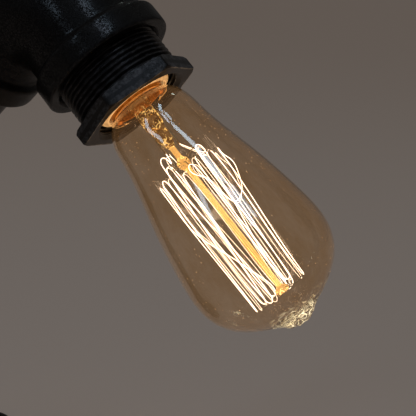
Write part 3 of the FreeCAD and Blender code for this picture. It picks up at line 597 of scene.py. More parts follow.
# ---------------------------------------------------------------- node groups
def add(tree: Tree, kind: str, inputs: dict | None = None, **settings: object) -> bpy.types.Node:
    """Add a node.

    Args:
        tree: node tree to add to.
        kind: the node's type.
        inputs: value or socket for each input, by name or index.
        **settings: the node's own settings.

    Returns:
        The new node.
    """
    node = tree.nodes.new(kind)
    for setting, value in settings.items():
        setattr(node, setting, value)
    for key, value in (inputs or {}).items():
        if isinstance(value, Socket):
            tree.links.new(value, node.inputs[key])
        else:
            node.inputs[key].default_value = value
    return node


def maths(tree: Tree, operation: str, *values: object) -> Socket:
    """The result of a Math node on numbers or sockets."""
    return add(tree, "ShaderNodeMath", dict(enumerate(values)), operation=operation).outputs[0]


def product(tree: Tree, *factors: object) -> Socket:
    """Numbers or sockets multiplied one after the other."""
    result = factors[0]
    for factor in factors[1:]:
        result = maths(tree, "MULTIPLY", result, factor)
    return result


def mapped(
    tree: Tree, value: Socket, low: object, high: object, to_low: float = 0.0, to_high: float = 1.0
) -> Socket:
    """A value mapped from one range to another and kept inside it."""
    sockets = {"Value": value, "From Min": low, "From Max": high, "To Min": to_low, "To Max": to_high}
    return add(tree, "ShaderNodeMapRange", sockets, clamp=True).outputs["Result"]


def mixed(tree: Tree, share: object, first: object, second: object) -> Socket:
    """A colour between two others."""
    ends = [value if isinstance(value, Socket) else (*value, 1.0) for value in (first, second)]
    return add(tree, "ShaderNodeMix", {0: share, 6: ends[0], 7: ends[1]}, data_type="RGBA").outputs[2]


def noise(tree: Tree, place: Socket, scale: object, detail: float = 3.0, rough: float = 0.55) -> Socket:
    """The value of a noise texture."""
    sockets = {"Vector": place, "Scale": scale, "Detail": detail, "Roughness": rough}
    return add(tree, "ShaderNodeTexNoise", sockets).outputs["Fac"]


def cells(tree: Tree, place: Socket, scale: object) -> Socket:
    """Distance from the nearest of many scattered points."""
    return add(tree, "ShaderNodeTexVoronoi", {"Vector": place, "Scale": scale}).outputs["Distance"]


def wire_grain(tree: Tree, place: Socket, scale: Socket, pits: Socket) -> Socket:
    """Sand-cast grain: the height of fine noise with round pits pressed into it."""
    fine = noise(tree, place, scale, 4.0, 0.65)
    pit = mapped(tree, cells(tree, place, product(tree, scale, 0.45)), 0.05, 0.42, 1.0, 0.0)
    rare = mapped(tree, noise(tree, place, product(tree, scale, 0.12)), 0.5, 0.62)
    return maths(tree, "SUBTRACT", fine, product(tree, pit, rare, pits))


def wire_tone(tree: Tree, place: Socket, scale: Socket) -> Socket:
    """Slow change over a surface, in two sizes."""
    broad = noise(tree, place, scale, 2.0)
    close = noise(tree, place, product(tree, scale, 6.0))
    both = maths(tree, "ADD", product(tree, broad, 0.65), product(tree, close, 0.35))
    return mapped(tree, both, 0.36, 0.64)


def wire_wear(tree: Tree, place: Socket, scale: Socket, amount: Socket, start: Socket) -> Socket:
    """Share of rubbed convex edges, broken up by noise."""
    edge = add(tree, "ShaderNodeNewGeometry").outputs["Pointiness"]
    ridge = mapped(tree, edge, start, maths(tree, "ADD", start, 0.05))
    broken = mapped(tree, noise(tree, place, scale, 5.0, 0.7), 0.42, 0.6)
    return product(tree, ridge, broken, amount)


def wire_dust(tree: Tree, place: Socket, scale: Socket, amount: Socket) -> Socket:
    """Share of dust on what faces up, in patches."""
    facing = add(tree, "ShaderNodeSeparateXYZ", {0: add(tree, "ShaderNodeNewGeometry").outputs["Normal"]})
    level = mapped(tree, facing.outputs["Z"], 0.35, 1.0)
    patches = mapped(tree, noise(tree, place, scale, 5.0, 0.7), 0.35, 0.75)
    return product(tree, level, patches, amount)


def wire_specks(tree: Tree, place: Socket, scale: Socket, size: Socket) -> Socket:
    """Separate tiny dots."""
    dot = maths(tree, "LESS_THAN", cells(tree, place, scale), size)
    few = maths(tree, "GREATER_THAN", noise(tree, place, product(tree, scale, 0.2)), 0.56)
    return product(tree, dot, few)


def wire_curls(tree: Tree, place: Socket, scale: Socket, width: Socket) -> Socket:
    """Broken curly lines, where a smooth noise crosses its middle value; the glass's painted glints use
    them.
    """
    away = maths(tree, "ABSOLUTE", maths(tree, "SUBTRACT", noise(tree, place, scale, 1.0), 0.5))
    line = maths(tree, "SUBTRACT", 1.0, maths(tree, "DIVIDE", away, width))
    broken = mapped(tree, noise(tree, place, product(tree, scale, 0.7)), 0.5, 0.54)
    return product(tree, mapped(tree, line, 0.1, 0.5), broken)


class Effect(Enum):
    """Shader effects that several finishes share."""

    GRAIN = "surface_grain"
    TONE = "uneven_tone"
    WEAR = "edge_wear"
    DUST = "settled_dust"
    SPECKS = "fine_specks"
    CURLS = "painted_glint_curls"


def group(effect: Effect, wire: Callable, **inputs: float) -> Tree:
    """A node group that reads a Vector and numbers, and gives one number.

    Args:
        effect: the effect that the group makes.
        wire: adds the nodes from the tree and its input sockets, and returns the result.
        **inputs: number inputs with their usual values.

    Returns:
        The group's tree.
    """
    tree = bpy.data.node_groups.new(effect.value, "ShaderNodeTree")
    tree.interface.new_socket("Vector", in_out="INPUT", socket_type="NodeSocketVector")
    for name, value in inputs.items():
        socket = tree.interface.new_socket(name, in_out="INPUT", socket_type="NodeSocketFloat")
        socket.default_value = value
    tree.interface.new_socket("Value", in_out="OUTPUT", socket_type="NodeSocketFloat")
    given = tree.nodes.new("NodeGroupInput").outputs
    result = wire(tree, *(given[name] for name in ("Vector", *inputs)))
    tree.links.new(result, tree.nodes.new("NodeGroupOutput").inputs["Value"])
    return tree


GROUPS = {
    Effect.GRAIN: group(Effect.GRAIN, wire_grain, Scale=1000.0, Pits=0.5),
    Effect.TONE: group(Effect.TONE, wire_tone, Scale=60.0),
    Effect.WEAR: group(Effect.WEAR, wire_wear, Scale=300.0, Amount=0.5, Start=0.52),
    Effect.DUST: group(Effect.DUST, wire_dust, Scale=120.0, Amount=0.3),
    Effect.SPECKS: group(Effect.SPECKS, wire_specks, Scale=400.0, Size=0.12),
    Effect.CURLS: group(Effect.CURLS, wire_curls, Scale=400.0, Width=0.04),
}


# ------------------------------------------------------------------ finishes
def per(size_mm: float) -> float:
    """Scale of a texture whose features are so many millimetres wide."""
    return 1 / (size_mm * MM)


class Shader:
    """A material being wired round its Principled shader."""

    def __init__(self, name: str, sockets: dict[str, object]) -> None:
        """Make the material, with plain values in the shader's own sockets."""
        self.material = bpy.data.materials.new(name)
        self.material.use_nodes = True
        self.tree = self.material.node_tree
        self.surface = self.tree.nodes["Principled BSDF"]
        for socket, value in sockets.items():
            self.surface.inputs[socket].default_value = value
        self.place = add(self.tree, "ShaderNodeTexCoord").outputs["Object"]

    def drawn(self, stretch: float) -> Socket:
        """The surface's own place with patterns drawn out along the bulb's axis."""
        sockets = {"Vector": self.place, "Rotation": (0.0, BULB_TILT, 0.0), "Scale": (1.0, 1.0, stretch)}
        return add(self.tree, "ShaderNodeMapping", sockets, vector_type="TEXTURE").outputs["Vector"]

    def effect(self, effect: Effect, size_mm: float, stretch: float = 1.0, **inputs: float) -> Socket:
        """A shared effect with features of one size, read at the surface's own place."""
        place = self.place if stretch == 1 else self.drawn(stretch)
        sockets = {"Vector": place, "Scale": per(size_mm), **inputs}
        return add(self.tree, "ShaderNodeGroup", sockets, node_tree=GROUPS[effect]).outputs["Value"]

    def feed(self, socket: str, value: Socket) -> None:
        """Link a changing value into the shader."""
        self.tree.links.new(value, self.surface.inputs[socket])

    def bump(self, height: Socket, depth: float) -> None:
        """Feed a height of so many millimetres into the shader's normal."""
        sockets = {"Height": height, "Distance": depth * MM, "Strength": 1.0}
        self.feed("Normal", add(self.tree, "ShaderNodeBump", sockets).outputs["Normal"])


@dataclass(frozen=True)
class Metalwork:
    """Iron, steel, brass or painted metal: two tones, grain with glossy crests, worn edges and dust."""

    dark: Colour
    light: Colour
    worn: Colour
    smooth: float
    rough: float
    metallic: float = 0.0
    specular: float = 0.5
    tone_mm: float = 18.0
    grain_mm: float = 0.8
    grain_depth: float = 0.1
    pits: float = 0.4
    wear: float = 0.5
    wear_mm: float = 2.4
    wear_start: float = 0.52
    wear_smooth: float = 0.35
    dust: float = 0.15
    dust_mm: float = 7.0
    dust_rough: float = 0.3
    coat: float = 0.0
    coat_crests: tuple[float, float] = (0.45, 0.74)
    stretch: float = 1.0

    def material(self, name: str) -> bpy.types.Material:
        """The finish as a material."""
        sockets = {"Metallic": self.metallic, "Specular IOR Level": self.specular, "Coat Roughness": 0.2}
        shader = Shader(name, sockets)
        tree = shader.tree
        tone = shader.effect(Effect.TONE, self.tone_mm, self.stretch)
        wear = shader.effect(Effect.WEAR, self.wear_mm, Amount=self.wear, Start=self.wear_start)
        dust = shader.effect(Effect.DUST, self.dust_mm, Amount=self.dust)
        rubbed = mixed(tree, wear, mixed(tree, tone, self.dark, self.light), self.worn)
        shader.feed("Base Color", mixed(tree, dust, rubbed, DUST_TONE))
        plain = mapped(tree, tone, 0.0, 1.0, self.smooth, self.rough)
        polished = maths(tree, "SUBTRACT", plain, product(tree, wear, self.rough - self.wear_smooth))
        shader.feed("Roughness", maths(tree, "ADD", polished, product(tree, dust, self.dust_rough)))
        grain = shader.effect(Effect.GRAIN, self.grain_mm, Pits=self.pits)
        shader.feed("Coat Weight", mapped(tree, grain, *self.coat_crests, 0.0, self.coat))
        shader.bump(grain, self.grain_depth)
        return shader.material


@dataclass(frozen=True)
class Moulding:
    """Plastic, rubber, porcelain, board, felt or cement."""

    dark: Colour
    light: Colour
    rough: float
    tone_mm: float = 6.0
    grain_mm: float = 0.4
    grain_depth: float = 0.03
    specular: float = 0.5
    sheen: float = 0.0
    coat: float = 0.0
    subsurface: float = 0.0
    stretch: float = 1.0
    rough_spread: float = 0.15
    pits: float = 0.2

    def material(self, name: str) -> bpy.types.Material:
        """The finish as a material."""
        sockets = {
            "Specular IOR Level": self.specular, "Sheen Weight": self.sheen, "Coat Weight": self.coat,
            "Subsurface Weight": self.subsurface, "Subsurface Scale": 2 * MM,
        }
        shader = Shader(name, sockets)
        tone = shader.effect(Effect.TONE, self.tone_mm, self.stretch)
        shader.feed("Base Color", mixed(shader.tree, tone, self.dark, self.light))
        smooth, rough = (self.rough * (1 + spread) for spread in (-self.rough_spread, self.rough_spread))
        shader.feed("Roughness", mapped(shader.tree, tone, 0.0, 1.0, smooth, min(1.0, rough)))
        shader.bump(shader.effect(Effect.GRAIN, self.grain_mm, Pits=self.pits), self.grain_depth)
        return shader.material


@dataclass(frozen=True)
class Glint:
    """Bright curls of painted glint and dark clouds of painted shade in thick glass, within a reach of a
    centre, in millimetres.
    """

    centre: Points
    reach: float
    size: float
    width: float
    tone: Colour
    painted_shade: float = 0.0

    def near(self, shader: Shader) -> Socket:
        """One at the centre, falling to zero at the reach."""
        sockets = {0: shader.place, 1: self.centre * MM}
        away = add(shader.tree, "ShaderNodeVectorMath", sockets, operation="DISTANCE").outputs["Value"]
        return mapped(shader.tree, away, 0.5 * self.reach * MM, self.reach * MM, 1.0, 0.0)

    def light(self, shader: Shader) -> Socket:
        """How much of the painted glint curls shows at each place."""
        bright = shader.effect(Effect.CURLS, self.size, Width=self.width)
        return product(shader.tree, bright, self.near(shader))

    def shade(self, shader: Shader) -> Socket:
        """How dark the painted shade clouds are at each place."""
        shade_clouds = mapped(shader.tree, noise(shader.tree, shader.place, per(0.8 * self.size)), 0.42, 0.6)
        return product(shader.tree, shade_clouds, self.near(shader), self.painted_shade)


@dataclass(frozen=True)
class Glass:
    """Blown or pressed glass, with a faint painted glow and painted lit specks: emission where a filament
    shines through it.
    """

    clear: Colour
    deep: Colour
    # The glow and speck colours are emission: painted light that stands in for the filament's light in the
    # glass.
    glow: Colour
    painted_speck_glow: Colour = (0.55, 0.26, 0.08)
    roughness: float = 0.0
    speck_mm: float = 2.3
    speck_size: float = 0.09
    tone_mm: float = 11.0
    wave_mm: float = 1.5
    wave_depth: float = 0.0008
    stretch: float = 60.0
    ior: float = 1.47
    speck_rough: float = 0.7
    glints: tuple[Glint, ...] = ()

    def material(self, name: str) -> bpy.types.Material:
        """The finish as a material."""
        shader = Shader(name, {"Transmission Weight": 1.0, "IOR": self.ior, "Emission Strength": 1.0})
        tree = shader.tree
        tone = shader.effect(Effect.TONE, self.tone_mm, 2.0)
        tint_and_painted_shade = mixed(tree, tone, self.clear, self.deep)
        specks = shader.effect(Effect.SPECKS, self.speck_mm, Size=self.speck_size)
        shader.feed("Roughness", mapped(tree, specks, 0.0, 1.0, self.roughness, self.speck_rough))
        # Emission is painted light: a faint painted glow and brighter painted specks stand in for the
        # filament's light in the glass.
        lit = mixed(tree, specks, self.glow, self.painted_speck_glow)
        # Each glint adds painted glint curls to the emission and paints shade clouds into the base colour.
        for glint in self.glints:
            lit = mixed(tree, glint.light(shader), lit, glint.tone)
            tint_and_painted_shade = mixed(tree, glint.shade(shader), tint_and_painted_shade, PAINTED_SHADE_TONE)
        shader.feed("Emission Color", lit)
        shader.feed("Base Color", tint_and_painted_shade)
        shader.bump(noise(tree, shader.drawn(self.stretch), per(self.wave_mm), 1.0), self.wave_depth)
        shader.material.cycles.emission_sampling = "NONE"
        return shader.material


@dataclass(frozen=True)
class Glow:
    """A thread that glows, a little hotter and cooler along its length."""

    hot: Colour
    cool: Colour
    strength: float
    spacing_mm: float = 9.0

    def material(self, name: str) -> bpy.types.Material:
        """The finish as a material."""
        shader = Shader(name, {"Base Color": (0.05, 0.04, 0.03, 1.0), "Emission Strength": self.strength})
        heat = noise(shader.tree, shader.place, per(self.spacing_mm), 1.0)
        warmth = mapped(shader.tree, heat, 0.4, 0.6)
        shader.feed("Emission Color", mixed(shader.tree, warmth, self.cool, self.hot))
        shader.feed("Roughness", mapped(shader.tree, heat, 0.0, 1.0, 0.5, 0.8))
        shader.material.cycles.emission_sampling = "NONE"
        return shader.material


FINISHES = {
    Slot.FELT: Moulding((0.018, 0.018, 0.018), (0.04, 0.038, 0.036), 0.95, 5.0, 0.35, 0.12, 0.1, sheen=0.4),
    Slot.IRON: Metalwork(
        (0.0022, 0.0020, 0.0020), (0.0055, 0.0050, 0.0048), (0.06, 0.06, 0.065), smooth=0.3, rough=0.42,
        specular=0.08, grain_mm=0.6, grain_depth=0.2, pits=0.5, wear=0.45, dust=0.02, coat=0.85,
    ),
    Slot.PIPE: Metalwork(
        (0.003, 0.0028, 0.0028), (0.007, 0.0066, 0.0066), (0.05, 0.047, 0.044), smooth=0.3, rough=0.44,
        specular=0.12, grain_mm=0.5, grain_depth=0.05, pits=0.2, wear=0.45, dust=0.03, coat=0.6,
    ),
    Slot.WHEEL: Metalwork(
        (0.006, 0.006, 0.0065), (0.011, 0.011, 0.012), (0.12, 0.11, 0.10), smooth=0.3, rough=0.42,
        specular=0.3, grain_mm=1.4, grain_depth=0.08, pits=0.3, wear=0.55, dust=0.07, coat=0.5,
    ),
    Slot.STEEL: Metalwork(
        (0.42, 0.42, 0.43), (0.58, 0.58, 0.6), (0.7, 0.7, 0.7), smooth=0.28, rough=0.42,
        metallic=1.0, grain_mm=0.3, grain_depth=0.02, pits=0.1, wear=0.2, dust=0.05,
    ),
    Slot.BRASS: Metalwork(
        (0.42, 0.17, 0.03), (0.75, 0.4, 0.12), (0.8, 0.56, 0.27), smooth=0.25, rough=0.42,
        metallic=1.0, tone_mm=1.6, grain_mm=0.5, grain_depth=0.02, pits=0.1, wear=0.3, dust=0.0,
        stretch=8.0,
    ),
    Slot.SOLDER: Metalwork(
        (0.45, 0.45, 0.44), (0.62, 0.62, 0.6), (0.7, 0.7, 0.68), smooth=0.35, rough=0.55,
        metallic=1.0, grain_mm=0.6, grain_depth=0.08, pits=0.2, wear=0.2, dust=0.0,
    ),
    Slot.WIRE: Metalwork(
        (0.36, 0.3, 0.22), (0.55, 0.48, 0.36), (0.7, 0.6, 0.45), smooth=0.3, rough=0.5,
        metallic=1.0, grain_mm=0.3, grain_depth=0.01, pits=0.0, wear=0.0, dust=0.0,
    ),
    Slot.BOARD: Moulding((0.25, 0.18, 0.11), (0.38, 0.29, 0.19), 0.7, 3.0, 0.6, 0.06),
    Slot.NYLON: Moulding((0.7, 0.68, 0.62), (0.78, 0.76, 0.7), 0.45, 8.0),
    Slot.SHEATH: Moulding((0.035, 0.035, 0.035), (0.055, 0.055, 0.055), 0.55, 8.0),
    Slot.CORE: Moulding((0.2, 0.09, 0.045), (0.3, 0.15, 0.075), 0.5, 8.0),
    Slot.SWITCH: Moulding((0.09, 0.09, 0.1), (0.14, 0.14, 0.15), 0.5, 8.0),
    Slot.GLAND: Moulding((0.022, 0.022, 0.024), (0.036, 0.036, 0.038), 0.42, 9.0, 0.25, 0.03),
    Slot.RUBBER: Moulding((0.014, 0.014, 0.014), (0.024, 0.024, 0.024), 0.75, 4.0),
    Slot.PORCELAIN: Moulding((0.5, 0.42, 0.3), (0.66, 0.57, 0.43), 0.3, 9.0, coat=0.3),
    Slot.CREAM: Moulding((0.44, 0.33, 0.2), (0.6, 0.48, 0.32), 0.36, 3.0, coat=0.2, stretch=6.0),
    Slot.CEMENT: Moulding((0.2, 0.075, 0.015), (0.55, 0.25, 0.06), 0.8, 1.0, 0.4, 0.2, stretch=8.0),
    Slot.BLACK_GLASS: Moulding((0.012, 0.012, 0.016), (0.025, 0.025, 0.03), 0.12, 6.0, coat=0.4),
    # The third colour of each glass, and the clear glass's fourth, are emission: painted glow and painted
    # specks of the filament's light.
    Slot.AMBER: Glass((0.98, 0.89, 0.77), (0.89, 0.75, 0.57), (0.009, 0.0045, 0.0015)),
    Slot.CLEAR: Glass(
        (0.98, 0.84, 0.56), (0.82, 0.52, 0.2), (0.03, 0.013, 0.003), (0.8, 0.45, 0.11), 0.02,
        speck_mm=1.6, speck_size=0.16, tone_mm=3.0, wave_mm=1.6, wave_depth=0.06, stretch=4.0,
    ),
    Slot.GLOW: Glow((1.0, 0.84, 0.7), (1.0, 0.77, 0.61), strength=4.4),
}


# --------------------------------------------------------------------- bench
class Bench:
    """Turns meshes into pieces that ride on the frame, with the finish of their slot."""

    def __init__(self, packed: dict) -> None:
        """Read the loaded frame and make the finishes."""
        self.nodes = packed["nodes"]
        self.slots = {row["node"]: Slot(row["material_slot"]) for row in packed["record"]["subparts"]}
        self.materials = {slot: finish.material(slot.value) for slot, finish in FINISHES.items()}

    def piece(self, name: str, mesh: Mesh, *nodes: str, finish: object = None) -> bpy.types.Object:
        """Put a mesh in the place of CAD nodes.

        Args:
            name: the piece's name.
            mesh: its mesh, in place.
            *nodes: nodes that it stands for, the first of which it rides with.
            finish: its finish, if not that of the first node's slot.

        Returns:
            The new object.
        """
        slot = self.slots[nodes[0]]
        mesh.materials.append(finish.material(name) if finish else self.materials[slot])
        made = put(name, mesh)
        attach(made, self.nodes[nodes[0]]["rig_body"])
        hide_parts(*nodes)
        LOG.info("%s stands for %s: %d faces", name, ", ".join(nodes), len(mesh.polygons))
        return made

    def shape(
        self, name: str, form: Points | Skin, place: Place, node: str, sharp: float = SHARP,
        finish: object = None,
    ) -> bpy.types.Object:
        """Make a piece from a closed grid or a skin.

        Args:
            name: the piece's name.
            form: its grid or skin, in a local frame.
            place: that frame.
            node: node that it stands for.
            sharp: edges over this many degrees stay sharp.
            finish: its finish, if not that of the node's slot.

        Returns:
            The new object.
        """
        skin = form if isinstance(form, Skin) else Skin().add(form)
        return self.piece(name, skin.mesh(name, place, sharp), node, finish=finish)

    def dress_rest(self) -> None:
        """Give every node that still shows the finish of its slot."""
        for name, node in self.nodes.items():
            if node.hide_render:
                continue
            node.data.materials.clear()
            node.data.materials.append(self.materials[self.slots[name]])
            LOG.info("%s keeps its solid", name)


# ------------------------------------------------------------------ fittings
@dataclass(frozen=True)
class PipeWork:
    """Pipes and cast fittings of one pipe size."""

    sizes: PipeSizes = PipeSizes()
    columns: int = 120
    lump_mm: float = 7.0
    lump_depth: float = 0.22
    broad_share: float = 0.72
    close_share: float = 0.28
    crotch_blend: float = 7.0
    crotch_rows: int = 26
    cavity_rows: int = 12
    halvings: int = 30

    NEAR_STEPS = (2.0, 4.0, 1.0, 1.0, 1.0, 1.0, 1.4)
    FAR_STEP = 3.0

    def nipple(self, length: float) -> Points:
        """A pipe with a thread at both ends, from local zero upwards."""
        size = self.sizes
        cut = size.engaged + size.thread_show
        fine = size.pitch / ROWS_A_PITCH
        threads = [
            Thread(size.pipe_r, -size.pitch, cut, size.pitch, size.thread_depth),
            Thread(size.pipe_r, length - cut, length + size.pitch, size.pitch, size.thread_depth),
        ]
        return lathe([
            (size.bore_r, 0, 0.4, 8),
            (size.pipe_r, 0, 0, fine),
            (size.pipe_r, cut + size.pitch, 0, 4),
            (size.pipe_r, length - cut - size.pitch, 0, fine),
            (size.pipe_r, length, 0, 8),
            (size.bore_r, length, 0.4, 8),
        ], self.columns, threads)

    def mouth(self, reach: float) -> list[Corner]:
        """Corners from a fitting's body out over the collar and back into its cavity."""
        size = self.sizes
        back = reach - size.band_width
        bore = size.pipe_r + size.mouth_gap
        return [
            Corner(size.body_r, back - size.band_slope, 2.0, 1.0),
            Corner(size.band_r, back, size.band_rounding, 1.0),
            Corner(size.band_r, reach, size.band_rounding, 1.0),
            Corner(bore + size.mouth_chamfer, reach, 0.3, 1.0),
            Corner(bore, reach - size.mouth_chamfer, 0.3, 4.0),
            Corner(bore, reach - size.socket_depth, 0.3, 2.0),
            Corner(size.cavity_r, reach - size.socket_depth, 0.3, 2.0),
        ]

    def cast(self, points: Points, outward: Points, radius: Points, seed: int) -> Points:
        """Press shallow lumps into the outer surface of a casting.

        A point moves inwards by the depth times (1 - ripple) / 2, and not at all in the bores.

        Args:
            points: grid of points.
            outward: direction of the surface at each point.
            radius: radius of each point, which tells the bores from the outside.
            seed: seed of the lumps.

        Returns:
            The moved grid.
        """
        bore = self.sizes.pipe_r + self.sizes.mouth_gap + self.sizes.mouth_chamfer
        outside = ramp(radius, bore, self.sizes.body_r)
        broad = ripple(points, self.lump_mm, seed)
        close = ripple(points, self.lump_mm / 3, seed + 1)
        lumps = self.broad_share * broad + self.close_share * close
        depth = self.lump_depth * outside * (1 - lumps) / 2
        return points - outward * depth[..., None]

    def elbow(
        self, centre: Points, first: Points, second: Points, bend_r: float, reach: float, seed: int
    ) -> Points:
        """A cast elbow as one closed grid.

        A point of the outline at radius r and length s goes to C(s) + r (cos a N(s) + sin a B), where C
        is straight, then an arc, then straight, N is its normal in the plane of the bend and B crosses it.

        Args:
            centre: where the two arms' axes cross.
            first: direction of the first arm.
            second: direction of the second arm.
            bend_r: radius of the centre line's arc.
            reach: from the centre to a mouth.
            seed: seed of the casting's lumps.

        Returns:
            A grid of points.
        """
        turn = math.pi - math.acos(float(first @ second))
        lead = reach - bend_r * math.tan(turn / 2)
        arc = bend_r * turn
        total = 2 * lead + arc
        half = self.mouth(total / 2)
        far = [corner._replace(height=corner.height + total / 2) for corner in half]
        far[-1] = far[-1]._replace(step=self.FAR_STEP)
        near = [corner._replace(height=total / 2 - corner.height) for corner in reversed(half)]
        near = [corner._replace(step=step) for corner, step in zip(near, self.NEAR_STEPS)]
        outline = contour(near + far)
        radius, length = outline[:, 0], outline[:, 1]
        inward = unit(second - first * float(first @ second))
        bent = np.clip(length - lead, 0, arc)[:, None] / bend_r
        normal = np.cos(bent) * inward + np.sin(bent) * first
        line = centre + first * (reach - np.clip(length, None, lead)[:, None])
        line = line + bend_r * (-np.sin(bent) * first + (1 - np.cos(bent)) * inward)
        line = line + second * np.clip(length - lead - arc, 0, None)[:, None]
        across = np.cross(inward, first)
        angle = around(self.columns)[None, :, None]
        outward = np.cos(angle) * normal[:, None] + np.sin(angle) * across
        points = line[:, None] + radius[:, None, None] * outward
        return self.cast(points, outward, radius[:, None] + 0 * angle[..., 0], seed)

    def cross_arm(self) -> tuple[Points, Points]:
        """One arm of the cross along local x, up to the planes where it meets its neighbours.

        Outside, the radius r solves softmin(r - R, hypot(x, r cos a) - R) = 0, the blend of this arm
        and the upright one, by halving an interval. Inside, the cavity is plain. Rows start on the
        plane x = |z| and end there.

        Returns:
            The grid of points and the radius of each.
        """
        size = self.sizes
        angle = around(self.columns)
        steep = np.abs(np.sin(angle))
        edge = contour(self.mouth(size.square_reach), closed=False)
        start = (size.body_r + self.crotch_blend / 4) * steep
        share = np.linspace(0, 1, self.crotch_rows, endpoint=False)[:, None]
        along = start + (edge[0, 1] - start) * share
        low = np.full_like(along, size.body_r)
        high = low + self.crotch_blend / 4
        for _ in range(self.halvings):
            middle = (low + high) / 2
            upright = np.hypot(along, middle * np.cos(angle)) - size.body_r
            outside = soft_min(middle - size.body_r, upright, self.crotch_blend) > 0
            high = np.where(outside, middle, high)
            low = np.where(outside, low, middle)
        inner_share = np.linspace(0, 1, self.cavity_rows)[1:, None]
        back = edge[-1, 1] + (size.cavity_r * steep - edge[-1, 1]) * inner_share
        heights = np.concatenate([along, edge[:, 1:] + 0 * angle, back])
        radii = np.concatenate([high, edge[:, :1] + 0 * angle, np.full_like(back, size.cavity_r)])
        points = np.stack([heights, radii * np.cos(angle), radii * np.sin(angle)], -1)
        return points, radii

    def cross(self, centre: Points, seed: int) -> Skin:
        """The four-way fitting: one arm turned to four sides about y."""
        arm, radii = self.cross_arm()
        skin = Skin()
        for cosine, sine in ((1, 0), (0, 1), (-1, 0), (0, -1)):
            quarter = arm @ np.array([[cosine, 0, sine], [0, 1, 0], [-sine, 0, cosine]])
            skin.add(centre + self.cast(quarter, unit(quarter), radii, seed), closed_rows=False)
        return skin


